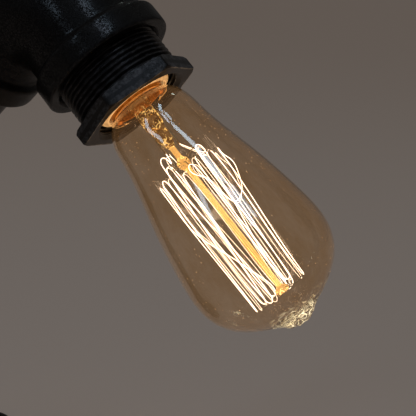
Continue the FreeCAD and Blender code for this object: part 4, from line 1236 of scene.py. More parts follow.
# ---------------------------------------------------------------------- base
@dataclass(frozen=True)
class Base:
    """The foot, the lower pipe, the cross and what is screwed into it."""

    bench: Bench
    layout: Layout
    pipework: PipeWork
    pad_thickness: float = 2.0
    pad_r: float = 62.0
    flange_r: float = 63.5
    plate: float = 6.5
    hub_r: float = 31.0
    hub_spread: float = 5.0
    hub_flare: float = 6.0
    lip_r: float = 20.0
    bolt_circle_r: float = 49.0
    bolt_hole_r: float = 3.6
    sink_r: float = 6.6
    sink: float = 3.0
    plug_flats: float = 50.2
    plug_head: float = 8.5
    plug_wall: float = 4.0
    plug_bore_r: float = 18.6
    gap: float = 0.1
    neck_r: float = 5.15
    gland_r: float = 8.0
    gland_bore_r: float = 5.4
    gland_flats: float = 20.0
    gland_collar: float = 5.0
    gland_neck: float = 8.0
    gland_inner: float = 8.0
    dome_r: float = 10.2
    dome_length: float = 14.0
    dome_mouth_r: float = 4.1
    dome_lip: float = 2.0
    dome_shoulder: float = 4.6
    seal_r: float = 5.3
    seal_bore_r: float = 3.7
    seal_length: float = 9.0
    washer_r: float = 8.6
    washer: float = 0.9
    nut_flats: float = 15.0
    nut: float = 3.5
    pad_rub: float = 0.004
    pad_bump: float = 3.0
    gland_fit: float = 0.15
    gland_pitch: float = 1.5
    gland_groove: float = 0.7
    ribs: int = 18
    rib_depth: float = 0.45

    def build(self) -> None:
        """Make every visible piece of the base."""
        bench, layout, pipework = self.bench, self.layout, self.pipework
        bench.piece("felt_foot", self.pad_mesh(), "base_pad")
        bench.piece("flange_casting", self.flange_mesh(), "floor_flange")
        foot = Place(layout.base_nipple_foot, layout.up, layout.front)
        bench.shape("base_nipple_pipe", pipework.nipple(pipework.sizes.base_nipple), foot, "base_nipple")
        bench.shape("cross_casting", pipework.cross(layout.cross_at, Seed.CROSS), WORLD, "pipe_cross")
        for name, node, hole_r, place in (
            ("front_plug_head", "front_plug", self.neck_r, layout.front_plug),
            ("rear_plug_head", "rear_plug", self.gland_r + self.gland_fit, layout.rear_plug),
        ):
            bench.shape(name, self.plug(hole_r), place, node, CRISP)
        self.build_gland()
        self.build_switch_fixing()

    def bolt_holes(self, low: float, high: float, sink: bool) -> Skin:
        """The four bolt holes as closed cutters, between the bottom and the top face of a plate."""
        wide = self.sink_r if sink else self.bolt_hole_r
        hole = lathe([
            (0, low - 1),
            (self.bolt_hole_r, low - 1),
            (self.bolt_hole_r, high - self.sink),
            (wide, high),
            (wide, high + 1),
            (0, high + 1),
        ], 40)
        skin = Skin()
        for turn in TAU * (np.arange(4) + 0.5) / 4:
            skin.add(self.bolt_circle_r * np.array([math.cos(turn), math.sin(turn), 0]) + hole)
        return skin

    def pad_mesh(self) -> Mesh:
        """The soft disc under the foot, with a rubbed, uneven rim."""
        top = self.pad_thickness
        grid = lathe([
            (0, 0, 0, 6),
            (self.pad_r, 0, 0.5, 0.4),
            (self.pad_r, top, 0.5, 6),
            (0, top, 0, 3),
        ], 160)
        grid[..., :2] *= 1 - self.pad_rub * (1 + ripple(grid, self.pad_bump, Seed.PAD)[..., None]) / 2
        return drilled(Skin().add(grid).mesh("felt_foot"), self.bolt_holes(0, top, False))

    def flange_mesh(self) -> Mesh:
        """The cast foot: plate, flared hub, bored seat and countersunk holes."""
        size = self.pipework.sizes
        low = self.pad_thickness
        plate = low + self.plate
        top = float(self.layout.flange_top[2])
        bore = size.pipe_r + size.mouth_gap
        grid = lathe([
            (self.lip_r, low, 0, 4),
            (self.flange_r, low, 0.4, 1.5),
            (self.flange_r, plate, 2.4, 2.0),
            (self.hub_r + self.hub_spread / 2, plate, 5.0, 1.0),
            (self.hub_r, plate + self.hub_flare, 5.0, 1.5),
            (self.hub_r, top, 1.5, 1.0),
            (bore + size.mouth_chamfer, top, 0.3, 1),
            (bore, top - size.mouth_chamfer, 0.3, 4),
            (bore, top - size.socket_depth, 0, 2),
            (self.lip_r, top - size.socket_depth, 0, 2),
        ], 180)
        outward = np.zeros_like(grid)
        outward[..., 2] = grid[..., 2] > low + 1
        radius = np.linalg.norm(grid[..., :2], axis=-1)
        lumpy = Skin().add(self.pipework.cast(grid, outward, radius, Seed.FLANGE))
        return drilled(lumpy.mesh("flange_casting"), self.bolt_holes(low, plate, True), sharp=28)

    @property
    def plug_face(self) -> float:
        """Outer face of a plug, from the cross's centre."""
        return self.pipework.sizes.square_reach + self.gap + self.plug_head

    def plug(self, hole_r: float) -> Points:
        """A hollow plug with a hexagon head, a threaded spigot and a hole on its axis."""
        size = self.pipework.sizes
        face = self.plug_face
        seat = face - self.plug_head
        end = size.square_reach - size.engaged
        corner_r = self.plug_flats / math.sqrt(3)
        fine = size.pitch / ROWS_A_PITCH
        thread = Thread(size.pipe_r, end - size.pitch, seat, size.pitch, size.thread_depth)
        return lathe([
            (hole_r, face - self.plug_wall, 0, 4),
            (self.plug_bore_r, face - self.plug_wall, 1.0, 4),
            (self.plug_bore_r, end, 0, 2),
            (size.pipe_r, end, 0, fine),
            (size.pipe_r, seat, 0, 1),
            (corner_r - 1.0, seat, 0, 0.12),
            (corner_r, seat + 1.0, 0, 1.5),
            (corner_r, face - 1.2, 0, 0.12),
            (corner_r - 1.9, face, 0.4, 2),
            (hole_r + 0.4, face, 0, 0.3),
            (hole_r, face - 0.4, 0, 1.5),
        ], threads=[thread], hexagon=Hexagon(self.plug_flats))

    def build_gland(self) -> None:
        """The cord inlet: hexagon body, ribbed dome nut and rubber sleeve."""
        place = self.layout.rear_plug
        low = self.plug_face + self.gap
        collar = low + self.gland_collar
        neck = collar + self.gland_neck
        inner = self.plug_face - self.plug_wall - self.gland_inner
        corner_r = self.gland_flats / math.sqrt(3)
        threads = [
            Thread(self.gland_r, start, end, self.gland_pitch, self.gland_groove, 0.5)
            for start, end in ((inner - 1, low), (collar, neck + 1))
        ]
        body = lathe([
            (self.gland_bore_r, inner, 0, 6),
            (self.gland_r, inner, 0, 0.2),
            (self.gland_r, low, 0, 1),
            (corner_r - 0.6, low, 0, 0.12),
            (corner_r, low + 0.6, 0, 1.5),
            (corner_r, collar - 0.6, 0, 0.12),
            (corner_r - 0.6, collar, 0, 1),
            (self.gland_r, collar, 0, 0.2),
            (self.gland_r, neck, 0, 1),
            (self.gland_bore_r, neck, 0, 4),
        ], threads=threads, hexagon=Hexagon(self.gland_flats))
        self.bench.shape("gland_body", body, place, "cord_gland", CRISP)
        foot = collar + self.gap
        top = foot + self.dome_length
        bore = self.gland_r + self.gap
        shoulder = top - self.dome_shoulder
        nut = lathe([
            (bore, foot, 0, 4),
            (self.dome_r, foot, 0.5, 0.5),
            (self.dome_r, shoulder, 3.0, 0.6),
            (self.dome_mouth_r + 1.2, top, 1.0, 0.6),
            (self.dome_mouth_r, top, 0.4, 0.6),
            (self.dome_mouth_r, top - self.dome_lip, 0, 2),
            (bore, top - self.dome_lip, 0, 4),
        ], 144)
        angle = np.arctan2(nut[..., 1], nut[..., 0])
        radius = np.linalg.norm(nut[..., :2], axis=-1)
        height = nut[..., 2]
        ribbed = ramp(height, foot + 0.6, foot + 1.4) * (1 - ramp(height, shoulder - 2, shoulder - 0.8))
        outside = radius > self.dome_r - 0.3
        groove = self.rib_depth * ribbed * outside * ramp(np.cos(self.ribs * angle), 0.1, 0.9)
        nut[..., :2] *= (1 - groove / radius)[..., None]
        self.bench.shape("gland_dome_nut", nut, place, "gland_nut")
        high = top - self.dome_lip - self.gap
        seal = lathe([
            (self.seal_bore_r, high - self.seal_length, 0.3, 1),
            (self.seal_r, high - self.seal_length, 0.3, 1),
            (self.seal_r, high, 0.4, 1),
            (self.seal_bore_r, high, 0.5, 0.5),
        ], 72)
        self.bench.shape("gland_sleeve", seal, place, "gland_seal")

    def build_switch_fixing(self) -> None:
        """The washer and nut that hold the switch in the front plug."""
        place = self.layout.front_plug
        seat = self.plug_face + self.gap
        top = seat + self.washer
        washer = lathe([
            (self.neck_r, seat, 0.1, 2),
            (self.washer_r, seat, 0.15, 0.4),
            (self.washer_r, top, 0.3, 2),
            (self.neck_r, top, 0.15, 0.4),
        ], 80)
        self.bench.shape("switch_washer_disc", washer, place, "switch_washer")
        low = top + self.gap
        high = low + self.nut - self.gap
        corner_r = self.nut_flats / math.sqrt(3)
        nut = lathe([
            (self.neck_r, low + 0.4, 0, 0.5),
            (self.neck_r + 0.4, low, 0, 1),
            (corner_r - 0.7, low, 0, 0.1),
            (corner_r, low + 0.5, 0, 0.7),
            (corner_r, high - 0.5, 0, 0.1),
            (corner_r - 0.9, high, 0, 1),
            (self.neck_r + 0.4, high, 0, 0.2),
            (self.neck_r, high - 0.4, 0, 0.5),
        ], hexagon=Hexagon(self.nut_flats, across=16))
        self.bench.shape("switch_hexagon_nut", nut, place, "switch_nut", CRISP)


# --------------------------------------------------------------------- wheel
@dataclass(frozen=True)
class SwitchWheel:
    """The valve wheel that works the switch, on its spindle."""

    bench: Bench
    layout: Layout
    foot: float = 63.8
    rim_centre_r: float = 26.0
    rim_r: float = 3.8
    rim_flute: float = 0.35
    flutes: int = 20
    spokes: int = 5
    spoke_r: float = 2.7
    spoke_root: float = 1.1
    hub_r: float = 7.5
    hub_length: float = 13.0
    dish: float = 4.0
    shaft_r: float = 3.0
    bore_gap: float = 0.1
    voxel_mm: float = 0.45
    screw_head_r: float = 4.6
    screw_head: float = 2.6
    screw_shank_r: float = 1.9
    screw_length: float = 8.9
    slot_width: float = 1.2
    slot_depth: float = 1.2
    spoke_sag: float = -0.9

    def build(self) -> None:
        """Make the wheel and its screw."""
        place = self.layout.front_plug
        self.bench.piece("valve_wheel", self.wheel_mesh(place), "handwheel")
        self.bench.piece("wheel_screw", self.screw_mesh(place), "handwheel_screw")

    def wheel_mesh(self, place: Place) -> Mesh:
        """The cast wheel: fluted rim, dished spokes and hub, melted into one skin and bored."""
        middle = self.foot + self.hub_length / 2
        top = self.foot + self.hub_length
        turn, ring = around(200)[:, None], around(40)[None]
        flutes = ramp(np.cos(self.flutes * turn), 0.2, 1.0) * ramp(-np.cos(ring), 0, 1)
        fluted = self.rim_r - self.rim_flute * flutes
        radius = self.rim_centre_r + fluted * np.cos(ring)
        height = middle + self.dish + fluted * np.sin(ring)
        rim = np.stack([radius * np.cos(turn), radius * np.sin(turn), height], -1)
        hub = lathe([
            (0, self.foot, 0, 3),
            (self.hub_r, self.foot, 0.8, 2),
            (self.hub_r, top, 1.2, 2),
            (0, top, 0, 3),
        ], 72)
        skin = Skin().add(rim).add(hub)
        share = np.linspace(0, 1, 24)[:, None]
        for turn in TAU * np.arange(self.spokes) / self.spokes:
            out = np.array([math.cos(turn), math.sin(turn), 0])
            start = (self.hub_r - 3) * out + middle * UP
            end = (self.rim_centre_r - 1) * out + (middle + self.dish) * UP
            path = start + (end - start) * share + self.spoke_sag * UP * np.sin(math.pi * share)
            flare = self.spoke_r - 0.5 + self.spoke_root * np.abs(2 * share[:, 0] - 1) ** 2.5
            skin.add(tube(path, flare, UP, 28), closed_rows=False)
        melted = finished(skin.mesh("valve_wheel"), 60, [
            ("REMESH", {"mode": "VOXEL", "voxel_size": self.voxel_mm * MM}),
            ("SMOOTH", {"factor": 0.5, "iterations": 6}),
        ])
        bore_r = self.shaft_r + self.bore_gap
        bore = lathe([(0, self.foot - 1), (bore_r, self.foot - 1), (bore_r, top + 1), (0, top + 1)], 48)
        bored = drilled(melted, Skin().add(bore), sharp=50)
        points = np.empty(len(bored.vertices) * 3)
        bored.vertices.foreach_get("co", points)
        placed = place.world(points.reshape(-1, 3) / MM) * MM
        bored.vertices.foreach_set("co", placed.ravel())
        bored.update()
        return bored

    def screw_mesh(self, place: Place) -> Mesh:
        """The round-headed screw with a slot across it."""
        seat = self.foot + self.hub_length + self.bore_gap
        top = seat + self.screw_head
        blank = Skin().add(lathe([
            (0, seat - self.screw_length, 0, 2),
            (self.screw_shank_r, seat - self.screw_length, 0.3, 2),
            (self.screw_shank_r, seat, 0, 1),
            (self.screw_head_r, seat, 0.2, 0.5),
            (self.screw_head_r, seat + self.screw_head * 0.45, 1.0, 0.5),
            (self.screw_head_r * 0.72, top, 1.4, 1),
            (0, top, 0, 1),
        ], 64))
        corners = np.array([[-1, -1], [1, -1], [1, 1], [-1, 1]], float)
        corners *= (self.screw_head_r + 1, self.slot_width / 2)
        floor = top - self.slot_depth
        box = np.stack([
            np.column_stack([corners * width, np.full(4, height)])
            for width, height in ((0.0, floor), (1.0, floor), (1.0, top + 1), (0.0, top + 1))
        ])
        slot = Skin().add(box, closed_rows=False)
        return drilled(blank.mesh("wheel_screw", place), slot, place, 30)


# ----------------------------------------------------------------------- arm
@dataclass(frozen=True)
class Arm:
    """The riser, the knee and the nipple that leans out to the head."""

    bench: Bench
    layout: Layout
    pipework: PipeWork

    def build(self) -> None:
        """Make the arm's pieces."""
        bench, layout, sizes = self.bench, self.layout, self.pipework.sizes
        foot = Place(layout.riser_foot, layout.up, layout.front)
        bench.shape("riser_tube", self.pipework.nipple(sizes.riser), foot, "riser_pipe")
        knee = self.pipework.elbow(
            layout.knee_at, -layout.up, layout.arm_dir, sizes.knee_bend_r, sizes.knee_reach, Seed.KNEE
        )
        bench.shape("knee_casting", knee, WORLD, "elbow_45")
        foot = Place(layout.arm_nipple_foot, layout.arm_dir, layout.side)
        bench.shape("arm_nipple_pipe", self.pipework.nipple(layout.arm_nipple), foot, "arm_nipple")


# ---------------------------------------------------------------------- head
@dataclass(frozen=True)
class Head:
    """The square elbow, the hexagon bushing and the bulb holder inside it."""

    bench: Bench
    layout: Layout
    pipework: PipeWork
    flats: float = 50.2
    hex_length: float = 6.6
    hex_turn: float = math.radians(21.7)
    thread_shown: float = 15.1
    engaged: float = 13.1
    bore_r: float = 19.7
    bore_length: float = 17.6
    bore_depth: float = 1.1
    rear_r: float = 18.5
    face_chamfer: float = 0.9
    holder_r: float = 17.7
    skin: float = 0.8
    lip_r: float = 14.7
    lip: float = 1.6
    setback: float = 1.9
    lip_fall: float = 2.0
    cup_bore_r: float = 14.5
    cup_floor: float = 28.2
    cup_seat: float = -34.9
    shell_pitch: float = 3.629
    shell_front: float = -4.6
    shell_wall: float = 0.5
    rows_a_pitch: int = 11

    MILLED = replace(FINISHES[Slot.IRON], specular=0.15, grain_depth=0.04, pits=0.2, wear=0.6, coat=0.35)

    def build(self) -> None:
        """Make the head's visible pieces."""
        bench, layout, sizes = self.bench, self.layout, self.pipework.sizes
        square = self.pipework.elbow(
            layout.head_at, -layout.arm_dir, layout.shine, sizes.square_bend_r, sizes.square_reach,
            Seed.SQUARE_ELBOW,
        )
        bench.shape("square_elbow_casting", square, WORLD, "elbow_90")
        bench.shape("bushing_casting", self.bushing(), layout.face, "hex_bushing", CRISP, self.MILLED)
        bench.shape("holder_rim", self.rim(), layout.face, "holder_shell")
        bench.shape("holder_thread", self.thread_shell(), layout.face, "screw_shell")

    def bushing(self) -> Points:
        """The bushing: hexagon, long outer thread, inner thread and stepped bore."""
        size = self.pipework.sizes
        back = -self.hex_length
        end = back - self.thread_shown - self.engaged
        corner_r = self.flats / math.sqrt(3)
        fine = size.pitch / self.rows_a_pitch
        threads = [
            Thread(size.pipe_r, end - size.pitch, back - 0.6, size.pitch, size.thread_depth, 1.0),
            Thread(self.bore_r, -self.bore_length, 0, size.pitch, -self.bore_depth, 1.0),
        ]
        return lathe([
            (self.rear_r, end, 0, 2),
            (size.pipe_r, end, 0, fine),
            (size.pipe_r, back - 0.4, 0.4, 0.5),
            (size.pipe_r + 0.3, back, 0, 1.2),
            (corner_r - 1.3, back, 0, 0.12),
            (corner_r, back + 0.9, 0, 1.0),
            (corner_r, -0.9, 0, 0.12),
            (corner_r - 1.3, 0, 0.3, 0.8),
            (self.bore_r + self.bore_depth + self.face_chamfer, 0, 0.3, 0.4),
            (self.bore_r, -1.6, 0, fine),
            (self.bore_r, -self.bore_length, 0, 1),
            (self.rear_r, -self.bore_length, 0, 3),
        ], threads=threads, hexagon=Hexagon(self.flats, self.hex_turn, across=28))

    def rim(self) -> Points:
        """The holder's outer skin, rolled over at its front edge."""
        front = -self.setback
        return lathe([
            (self.holder_r - self.skin, self.cup_seat + 0.1, 0, 6),
            (self.holder_r, self.cup_seat + 0.1, 0.2, 4),
            (self.holder_r, front - self.lip_fall, 0.8, 0.5),
            (self.lip_r + 0.4, front, 0.3, 0.3),
            (self.lip_r, front, 0.2, 0.4),
            (self.lip_r, front - self.lip, 0.2, 0.6),
            (self.holder_r - self.skin, front - self.lip_fall - self.lip, 0.2, 4),
        ], 120)

    def thread_shell(self) -> Points:
        """The brass thread shell inside the porcelain."""
        outer = self.cup_bore_r - 0.15
        inner = outer - self.shell_wall
        low, high = -self.cup_floor + 0.1, self.shell_front
        grooves = [Thread(inner, low, high, self.shell_pitch, 0.45, 1.5)]
        return lathe([
            (outer, low, 0.1, 0.4),
            (outer, high, 0.2, 0.4),
            (inner, high, 0.1, 0.3),
            (inner, low, 0.1, 0.3),
        ], 96, grooves)


# ---------------------------------------------------------------------- bulb
class Turn(NamedTuple):
    """A place on the carbon thread: across and away as seen from the front, height and half width."""

    across: float
    away: float
    height: float
    width: float = 1.8


@dataclass(frozen=True)
class FilamentBulb:
    """The long teardrop bulb: glass, stem, hooks, carbon thread and screw cap."""

    bench: Bench
    layout: Layout
    glass_r: float = 32.0
    reach: float = 109.6
    wall: float = 0.55
    neck_r: float = 11.2
    neck_low: float = -8.2
    cap_setback: float = 1.2
    pip_r: float = 7.4
    pip_length: float = 2.9
    pip_shift: float = 1.6
    thick_r: float = 6.5
    thick: float = 1.5
    flare_r: float = 9.6
    stem_r: float = 4.3
    stem_top: float = 11.0
    pinch_width: float = 5.7
    pinch_depth: float = 2.6
    pinch_top: float = 20.0
    rod_r: float = 1.3
    upper_hub: float = 30.5
    upper_hub_r: float = 2.6
    lower_hub: float = 96.5
    lower_hub_r: float = 3.0
    hook_r: float = 0.22
    hook_sink: float = 0.6
    lead_arch: float = 1.5
    strand_r: float = 0.15
    # The next four sizes shape the finer glowing line, a painted reflection of the thread.
    reflection_strand_r: float = 0.07
    reflection_turn: float = math.radians(-7)
    inner_share: float = 0.88
    reflection_lift: float = 0.7
    loop_height: float = 1.7
    lead_r: float = 0.4
    cap_r: float = 13.0
    cap_length: float = 23.0
    cap_wall: float = 0.5
    cap_depth: float = 0.55
    cap_pitch: float = 3.629
    cement: float = 3.6
    front_turn: float = math.radians(-27.45)
    glass_rows: int = 290
    glass_columns: int = 160
    column_sides: int = 64
    thread_points: int = 4200
    crease: float = 0.4
    crease_mm: float = 1.8
    stem_lump: float = 0.07
    stem_lump_mm: float = 1.9
    OUTLINE = (
        (0.000, 0.452), (0.034, 0.548), (0.150, 0.645), (0.300, 0.748), (0.450, 0.868), (0.600, 0.958),
        (0.705, 1.000), (0.800, 0.976), (0.880, 0.846), (0.940, 0.619), (0.980, 0.350), (1.000, 0.000),
    )
    # The support rod's glow colour is painted light: emission that stands in for the filament's light
    # caught in the rod.
    LIT_ROD = Glass((1.0, 0.82, 0.45), (1.0, 0.72, 0.3), (0.42, 0.25, 0.09), roughness=0.0)
    FOOT = (3.5, -5.0, 24.0)
    END = (-3.5, -5.0, 24.0)
    TURNS = (
        Turn(6.0, -13.5, 26.0), Turn(6.5, -9.5, 98.4), Turn(11.3, -9.5, 33.0), Turn(13.5, -2.0, 97.6),
        Turn(14.2, 3.5, 32.0), Turn(14.4, 4.5, 54.5, 0.0), Turn(9.5, 7.5, 70.0, 0.0),
        Turn(3.6, 8.5, 87.0, 0.0), Turn(3.9, 7.5, 96.5), Turn(6.5, 13.0, 25.0), Turn(9.2, 8.0, 96.7),
        Turn(2.1, 14.5, 31.0), Turn(-1.7, 10.5, 96.0), Turn(-6.6, 13.5, 28.0), Turn(-4.5, 9.0, 97.3),
        Turn(-11.4, 10.0, 30.4), Turn(-10.8, 2.0, 97.0), Turn(-15.0, 0.5, 34.0),
        Turn(-16.2, -1.5, 41.0, 0.0), Turn(-14.9, -4.0, 49.0, 0.0), Turn(-11.5, -7.0, 55.5, 0.0),
        Turn(-7.5, -9.0, 57.6, 0.0), Turn(-4.6, -11.0, 51.0, 0.0), Turn(-2.6, -12.5, 42.0, 0.0),
        Turn(-1.4, -13.5, 35.0, 1.4), Turn(-4.6, -9.0, 95.0), Turn(-8.5, -12.0, 30.0),
    )

    def build(self) -> None:
        """Make the bulb's visible pieces."""
        bench, place = self.bench, self.layout.face
        # Painted light and shade in the glass: bright curls stand in for the filament's light refracted
        # near the pip and the pinch, and dark clouds are painted shade.
        hooks = Glint(
            place.along(self.reach - 6).origin, reach=18.0, size=4.2, width=0.03, tone=(1.0, 0.86, 0.55)
        )
        tip = Glint(
            place.world(np.array([2.0, 0.0, self.reach])), reach=8.5, size=3.4, width=0.05,
            tone=(1.0, 0.82, 0.46), painted_shade=0.95,
        )
        pinch = Glint(
            place.along(self.stem_top + 3).origin, reach=16.0, size=2.8, width=0.05,
            tone=(1.0, 0.68, 0.25), painted_shade=0.5,
        )
        blown = replace(FINISHES[Slot.AMBER], glints=(hooks, tip))
        pressed = replace(FINISHES[Slot.CLEAR], glints=(pinch,))
        for name, node, skin, finish in (
            ("glass_envelope", "bulb_glass", self.envelope(), blown),
            ("stem_glass", "glass_stem", self.stem(), pressed),
            ("support_rod", "glass_stem", self.rod(), self.LIT_ROD),
        ):
            bench.shape(name, skin, place, node, ROUNDED, finish).visible_shadow = False
        bench.shape("threaded_cap", self.cap(), place, "cap_shell")
        seen = Place(place.origin, place.z_dir, unit(place.world(self.front_axis()) - place.origin))
        for name, node, skin in (
            ("carbon_thread", "filament", self.thread()),
            ("anchor_wires", "filament_hooks", self.hooks()),
            ("feed_wires", "lead_in_wires", self.feeds()),
        ):
            bench.shape(name, skin, seen, node, ROUNDED)

    def front_axis(self) -> Points:
        """Local direction that points to the left of someone who faces the lamp's lit side."""
        return np.array([math.cos(self.front_turn), math.sin(self.front_turn), 0.0])

    def envelope(self) -> Skin:
        """The glass as one closed wall.

        The outside is a spline through the outline, carried past the axis so that the dome is round.
        The inside is the outside moved along its normal by the wall, which thickens near the pip by
        t exp(-(r / w)^2). The pip is added to the outside, a little off the axis, and the glass
        around it is creased.

        Returns:
            The glass skin.
        """
        shares = np.array([(across * self.glass_r, along * self.reach) for along, across in self.OUTLINE])
        mirrored = shares[-2:-7:-1] * np.array([-1, 1])
        curve = spline(np.concatenate([shares, mirrored]), self.glass_rows)
        outer = curve[: np.argmax(curve[:, 0] < 0)]
        slope = unit(np.gradient(outer, axis=0))
        inward = np.stack([-slope[:, 1], slope[:, 0]], -1)
        upper = outer[:, 1] > self.reach / 2
        wall = self.wall + self.thick * np.exp(-((outer[:, 0] / self.thick_r) ** 2)) * upper
        inner = outer + inward * wall[:, None]
        inner = inner[inner[:, 0] > 0.15]
        rim = -self.cap_setback + 0.1
        neck = contour([
            (inner[0, 0], inner[0, 1], 0, 0.4),
            (self.neck_r - self.wall, rim + 0.9, 1.2, 0.8),
            (self.neck_r - self.wall, self.neck_low, 0.3, 0.4),
            (self.neck_r, self.neck_low, 0.3, 0.8),
            (self.neck_r, rim, 1.0, 0.4),
            (outer[0, 0], outer[0, 1], 0, 0.4),
        ], closed=False)
        ends = np.array([[0.0, outer[-1, 1]], [0.0, inner[-1, 1]]])
        grid = turned(np.concatenate([outer[:-1], ends, inner[:0:-1], neck[:-1]]), self.glass_columns)
        outside = grid[: len(outer)]
        away = np.hypot(outside[..., 0] - self.pip_shift, outside[..., 1])
        pip = self.pip_length * np.exp(-((away / self.pip_r) ** 3.6))
        outside[..., 2] += pip * (outside[..., 2] > self.reach / 2)
        radius = np.linalg.norm(grid[..., :2], axis=-1)
        near_pip = np.exp(-((radius / (1.6 * self.pip_r)) ** 2)) * (grid[..., 2] > self.reach / 2)
        creases = ripple(grid, self.crease_mm, Seed.TIP) * ramp(radius, 0.2, 1.2)
        grid[..., 2] += self.crease * near_pip * creases
        return Skin().add(grid)

    def oval(self, height: Points, wide: Points, deep: Points, lumps: Points) -> Skin:
        """A solid column of oval rings.

        Args:
            height: height of each ring.
            wide: half width of each ring along local y.
            deep: half width of each ring along local x.
            lumps: share of each half width that a ripple adds or takes away.

        Returns:
            The column's skin.
        """
        angle = around(self.column_sides)[None]
        rings = [deep[:, None] * np.cos(angle), wide[:, None] * np.sin(angle), height[:, None] + 0 * angle]
        grid = np.stack(rings, -1)
        grid[..., :2] *= 1 + (lumps[:, None] * ripple(grid, self.stem_lump_mm, Seed.STEM))[..., None]
        ends = np.zeros((2, self.column_sides, 3))
        ends[..., 2] = height[[0, -1], None]
        return Skin().add(np.concatenate([ends[:1], grid, ends[1:]]), closed_rows=False)

    def stem(self) -> Skin:
        """The stem: a flared tube that is pinched flat and lumpy, as splines of the height."""
        knots = np.array([
            (self.neck_low, self.flare_r, self.flare_r),
            (self.neck_low + 2.5, 6.2, 6.2),
            (self.neck_low + 7.0, self.stem_r + 0.3, self.stem_r + 0.3),
            (4.0, self.stem_r, self.stem_r),
            (self.stem_top - 2.0, self.stem_r + 0.2, self.stem_r - 0.2),
            (self.stem_top + 2.0, self.pinch_width - 0.3, self.pinch_depth),
            (self.pinch_top - 3.0, self.pinch_width, self.pinch_depth),
            (self.pinch_top, 3.4, 2.2),
            (self.pinch_top + 2.0, self.rod_r + 0.3, self.rod_r + 0.3),
        ])
        tall = spline(knots, 120)
        height = np.linspace(tall[0, 0], tall[-1, 0], 120)
        wide, deep = (np.interp(height, tall[:, 0], tall[:, column]) for column in (1, 2))
        lumps = self.stem_lump * ramp(height, 3, 8) * (1 - ramp(height, 18, 22))
        return self.oval(height, wide, deep, lumps)

    def rod(self) -> Skin:
        """The support rod with its two beads, each a swelling exp(-((z - z0) / w)^4)."""
        height = np.linspace(self.pinch_top + 2.05, self.lower_hub + 1.5, 170)
        upper = np.exp(-(((height - self.upper_hub) / 2.3) ** 4))
        lower = np.exp(-(((height - self.lower_hub) / 1.5) ** 4))
        swell = (self.upper_hub_r - self.rod_r) * upper + (self.lower_hub_r - self.rod_r) * lower
        return self.oval(height, self.rod_r + swell, self.rod_r + swell, 0.12 * upper)

    def thread(self) -> Skin:
        """The carbon thread: a bright line up and down the cage, and a finer glowing copy inside it, a
        painted reflection of the thread.

        At each turn, knots lie on half an ellipse of the turn's width w and height h w, across the cage. A
        turn of no width is a single knot. A spline goes through all the knots. The finer line, a painted
        reflection of the thread, is the bright one drawn in towards the axis, turned about it and lifted.

        Returns:
            The thread's skin.
        """
        stops = np.array([self.FOOT, *(turn[:3] for turn in self.TURNS), self.END])
        knots = [stops[:1]]
        share = np.linspace(0, math.pi, 7)[:, None]
        for index, turn in enumerate(self.TURNS, 1):
            side = unit(np.array([-turn.away, turn.across, 0.0])) * turn.width
            if (stops[index + 1] - stops[index - 1]) @ side < 0:
                side = -side
            rest = (stops[index - 1, 2] + stops[index + 1, 2]) / 2 - turn.height
            back = np.array([0, 0, math.copysign(self.loop_height * turn.width, rest)])
            loop = stops[index] + back - side * np.cos(share) - back * np.sin(share)
            knots.append(loop if turn.width else stops[index : index + 1])
        path = spline(np.concatenate([*knots, stops[-1:]]), self.thread_points)
        # The finer line is a glowing copy of the thread: a painted reflection of it in the glass.
        cosine = self.inner_share * math.cos(self.reflection_turn)
        sine = self.inner_share * math.sin(self.reflection_turn)
        to_reflection = np.array([[cosine, sine, 0.0], [-sine, cosine, 0.0], [0.0, 0.0, 1.0]])
        inner = path @ to_reflection + np.array([0, 0, self.reflection_lift])
        skin = Skin()
        for line, radius in ((path, self.strand_r), (inner, self.reflection_strand_r)):
            skin.add(tube(line, radius, line * np.array([1, 1, 0]), 6), closed_rows=False)
        return skin

    def hooks(self) -> Skin:
        """The anchor wires, from each bead out to a turn of the thread."""
        skin = Skin()
        share = np.linspace(0, 1, 14)[:, None]
        for turn in filter(lambda place: place.width, self.TURNS):
            tip = np.array(turn[:3])
            upper = turn.height < (self.upper_hub + self.lower_hub) / 2
            hub_r, hub = (self.upper_hub_r, self.upper_hub) if upper else (self.lower_hub_r, self.lower_hub)
            way = 1.0 if upper else -1.0
            start = unit(tip * np.array([1, 1, 0])) * (hub_r - self.hook_sink) + hub * UP
            path = start + (tip + 0.4 * way * UP - start) * share - way * UP * np.sin(math.pi * share)
            skin.add(tube(path, self.hook_r, UP, 6), closed_rows=False)
        return skin

    def feeds(self) -> Skin:
        """The two thick wires from the pinch to the ends of the thread."""
        skin = Skin()
        share = np.linspace(0, 1, 24)[:, None]
        for side, tip in ((1, self.FOOT), (-1, self.END)):
            start = np.array([side * self.pinch_width * 0.6, -0.6, self.stem_top + 3])
            arch = self.lead_arch * UP * np.sin(math.pi * share)
            path = start + (np.array(tip) - start) * share + arch
            skin.add(tube(path, self.lead_r, np.array([0.0, 1.0, 0.0]), 8), closed_rows=False)
        return skin

    def cap(self) -> Points:
        """The cap's metal shell, rolled to a thread inside and out."""
        high = -self.cap_setback
        low = high - self.cap_length
        collar = high - self.cement - 0.8
        inner = self.cap_r - self.cap_wall
        threads = [
            Thread(radius, low - 2, collar, self.cap_pitch, self.cap_depth, 1.5)
            for radius in (self.cap_r, inner)
        ]
        return lathe([
            (self.cap_r, low, 0, 0.3),
            (self.cap_r, collar, 0, 0.6),
            (self.cap_r, high, 0.1, 0.3),
            (inner, high, 0.1, 0.6),
            (inner, collar, 0, 0.3),
            (inner, low, 0, 0.3),
        ], 96, threads)


# -------------------------------------------------------------------- studio
@dataclass(frozen=True)
class Lamp:
    """A soft light: where it stands as seen from the bulb, its size, power and colour."""

    name: str
    azimuth: float
    elevation: float
    distance: float
    size: tuple[float, float]
    power: float
    colour: Colour

    def direction(self) -> Points:
        """Direction to the light: azimuth 0 is in front, along -y, and 90 is +x."""
        turn, rise = math.radians(self.azimuth), math.radians(self.elevation)
        return np.array([math.sin(turn) * math.cos(rise), -math.cos(turn) * math.cos(rise), math.sin(rise)])


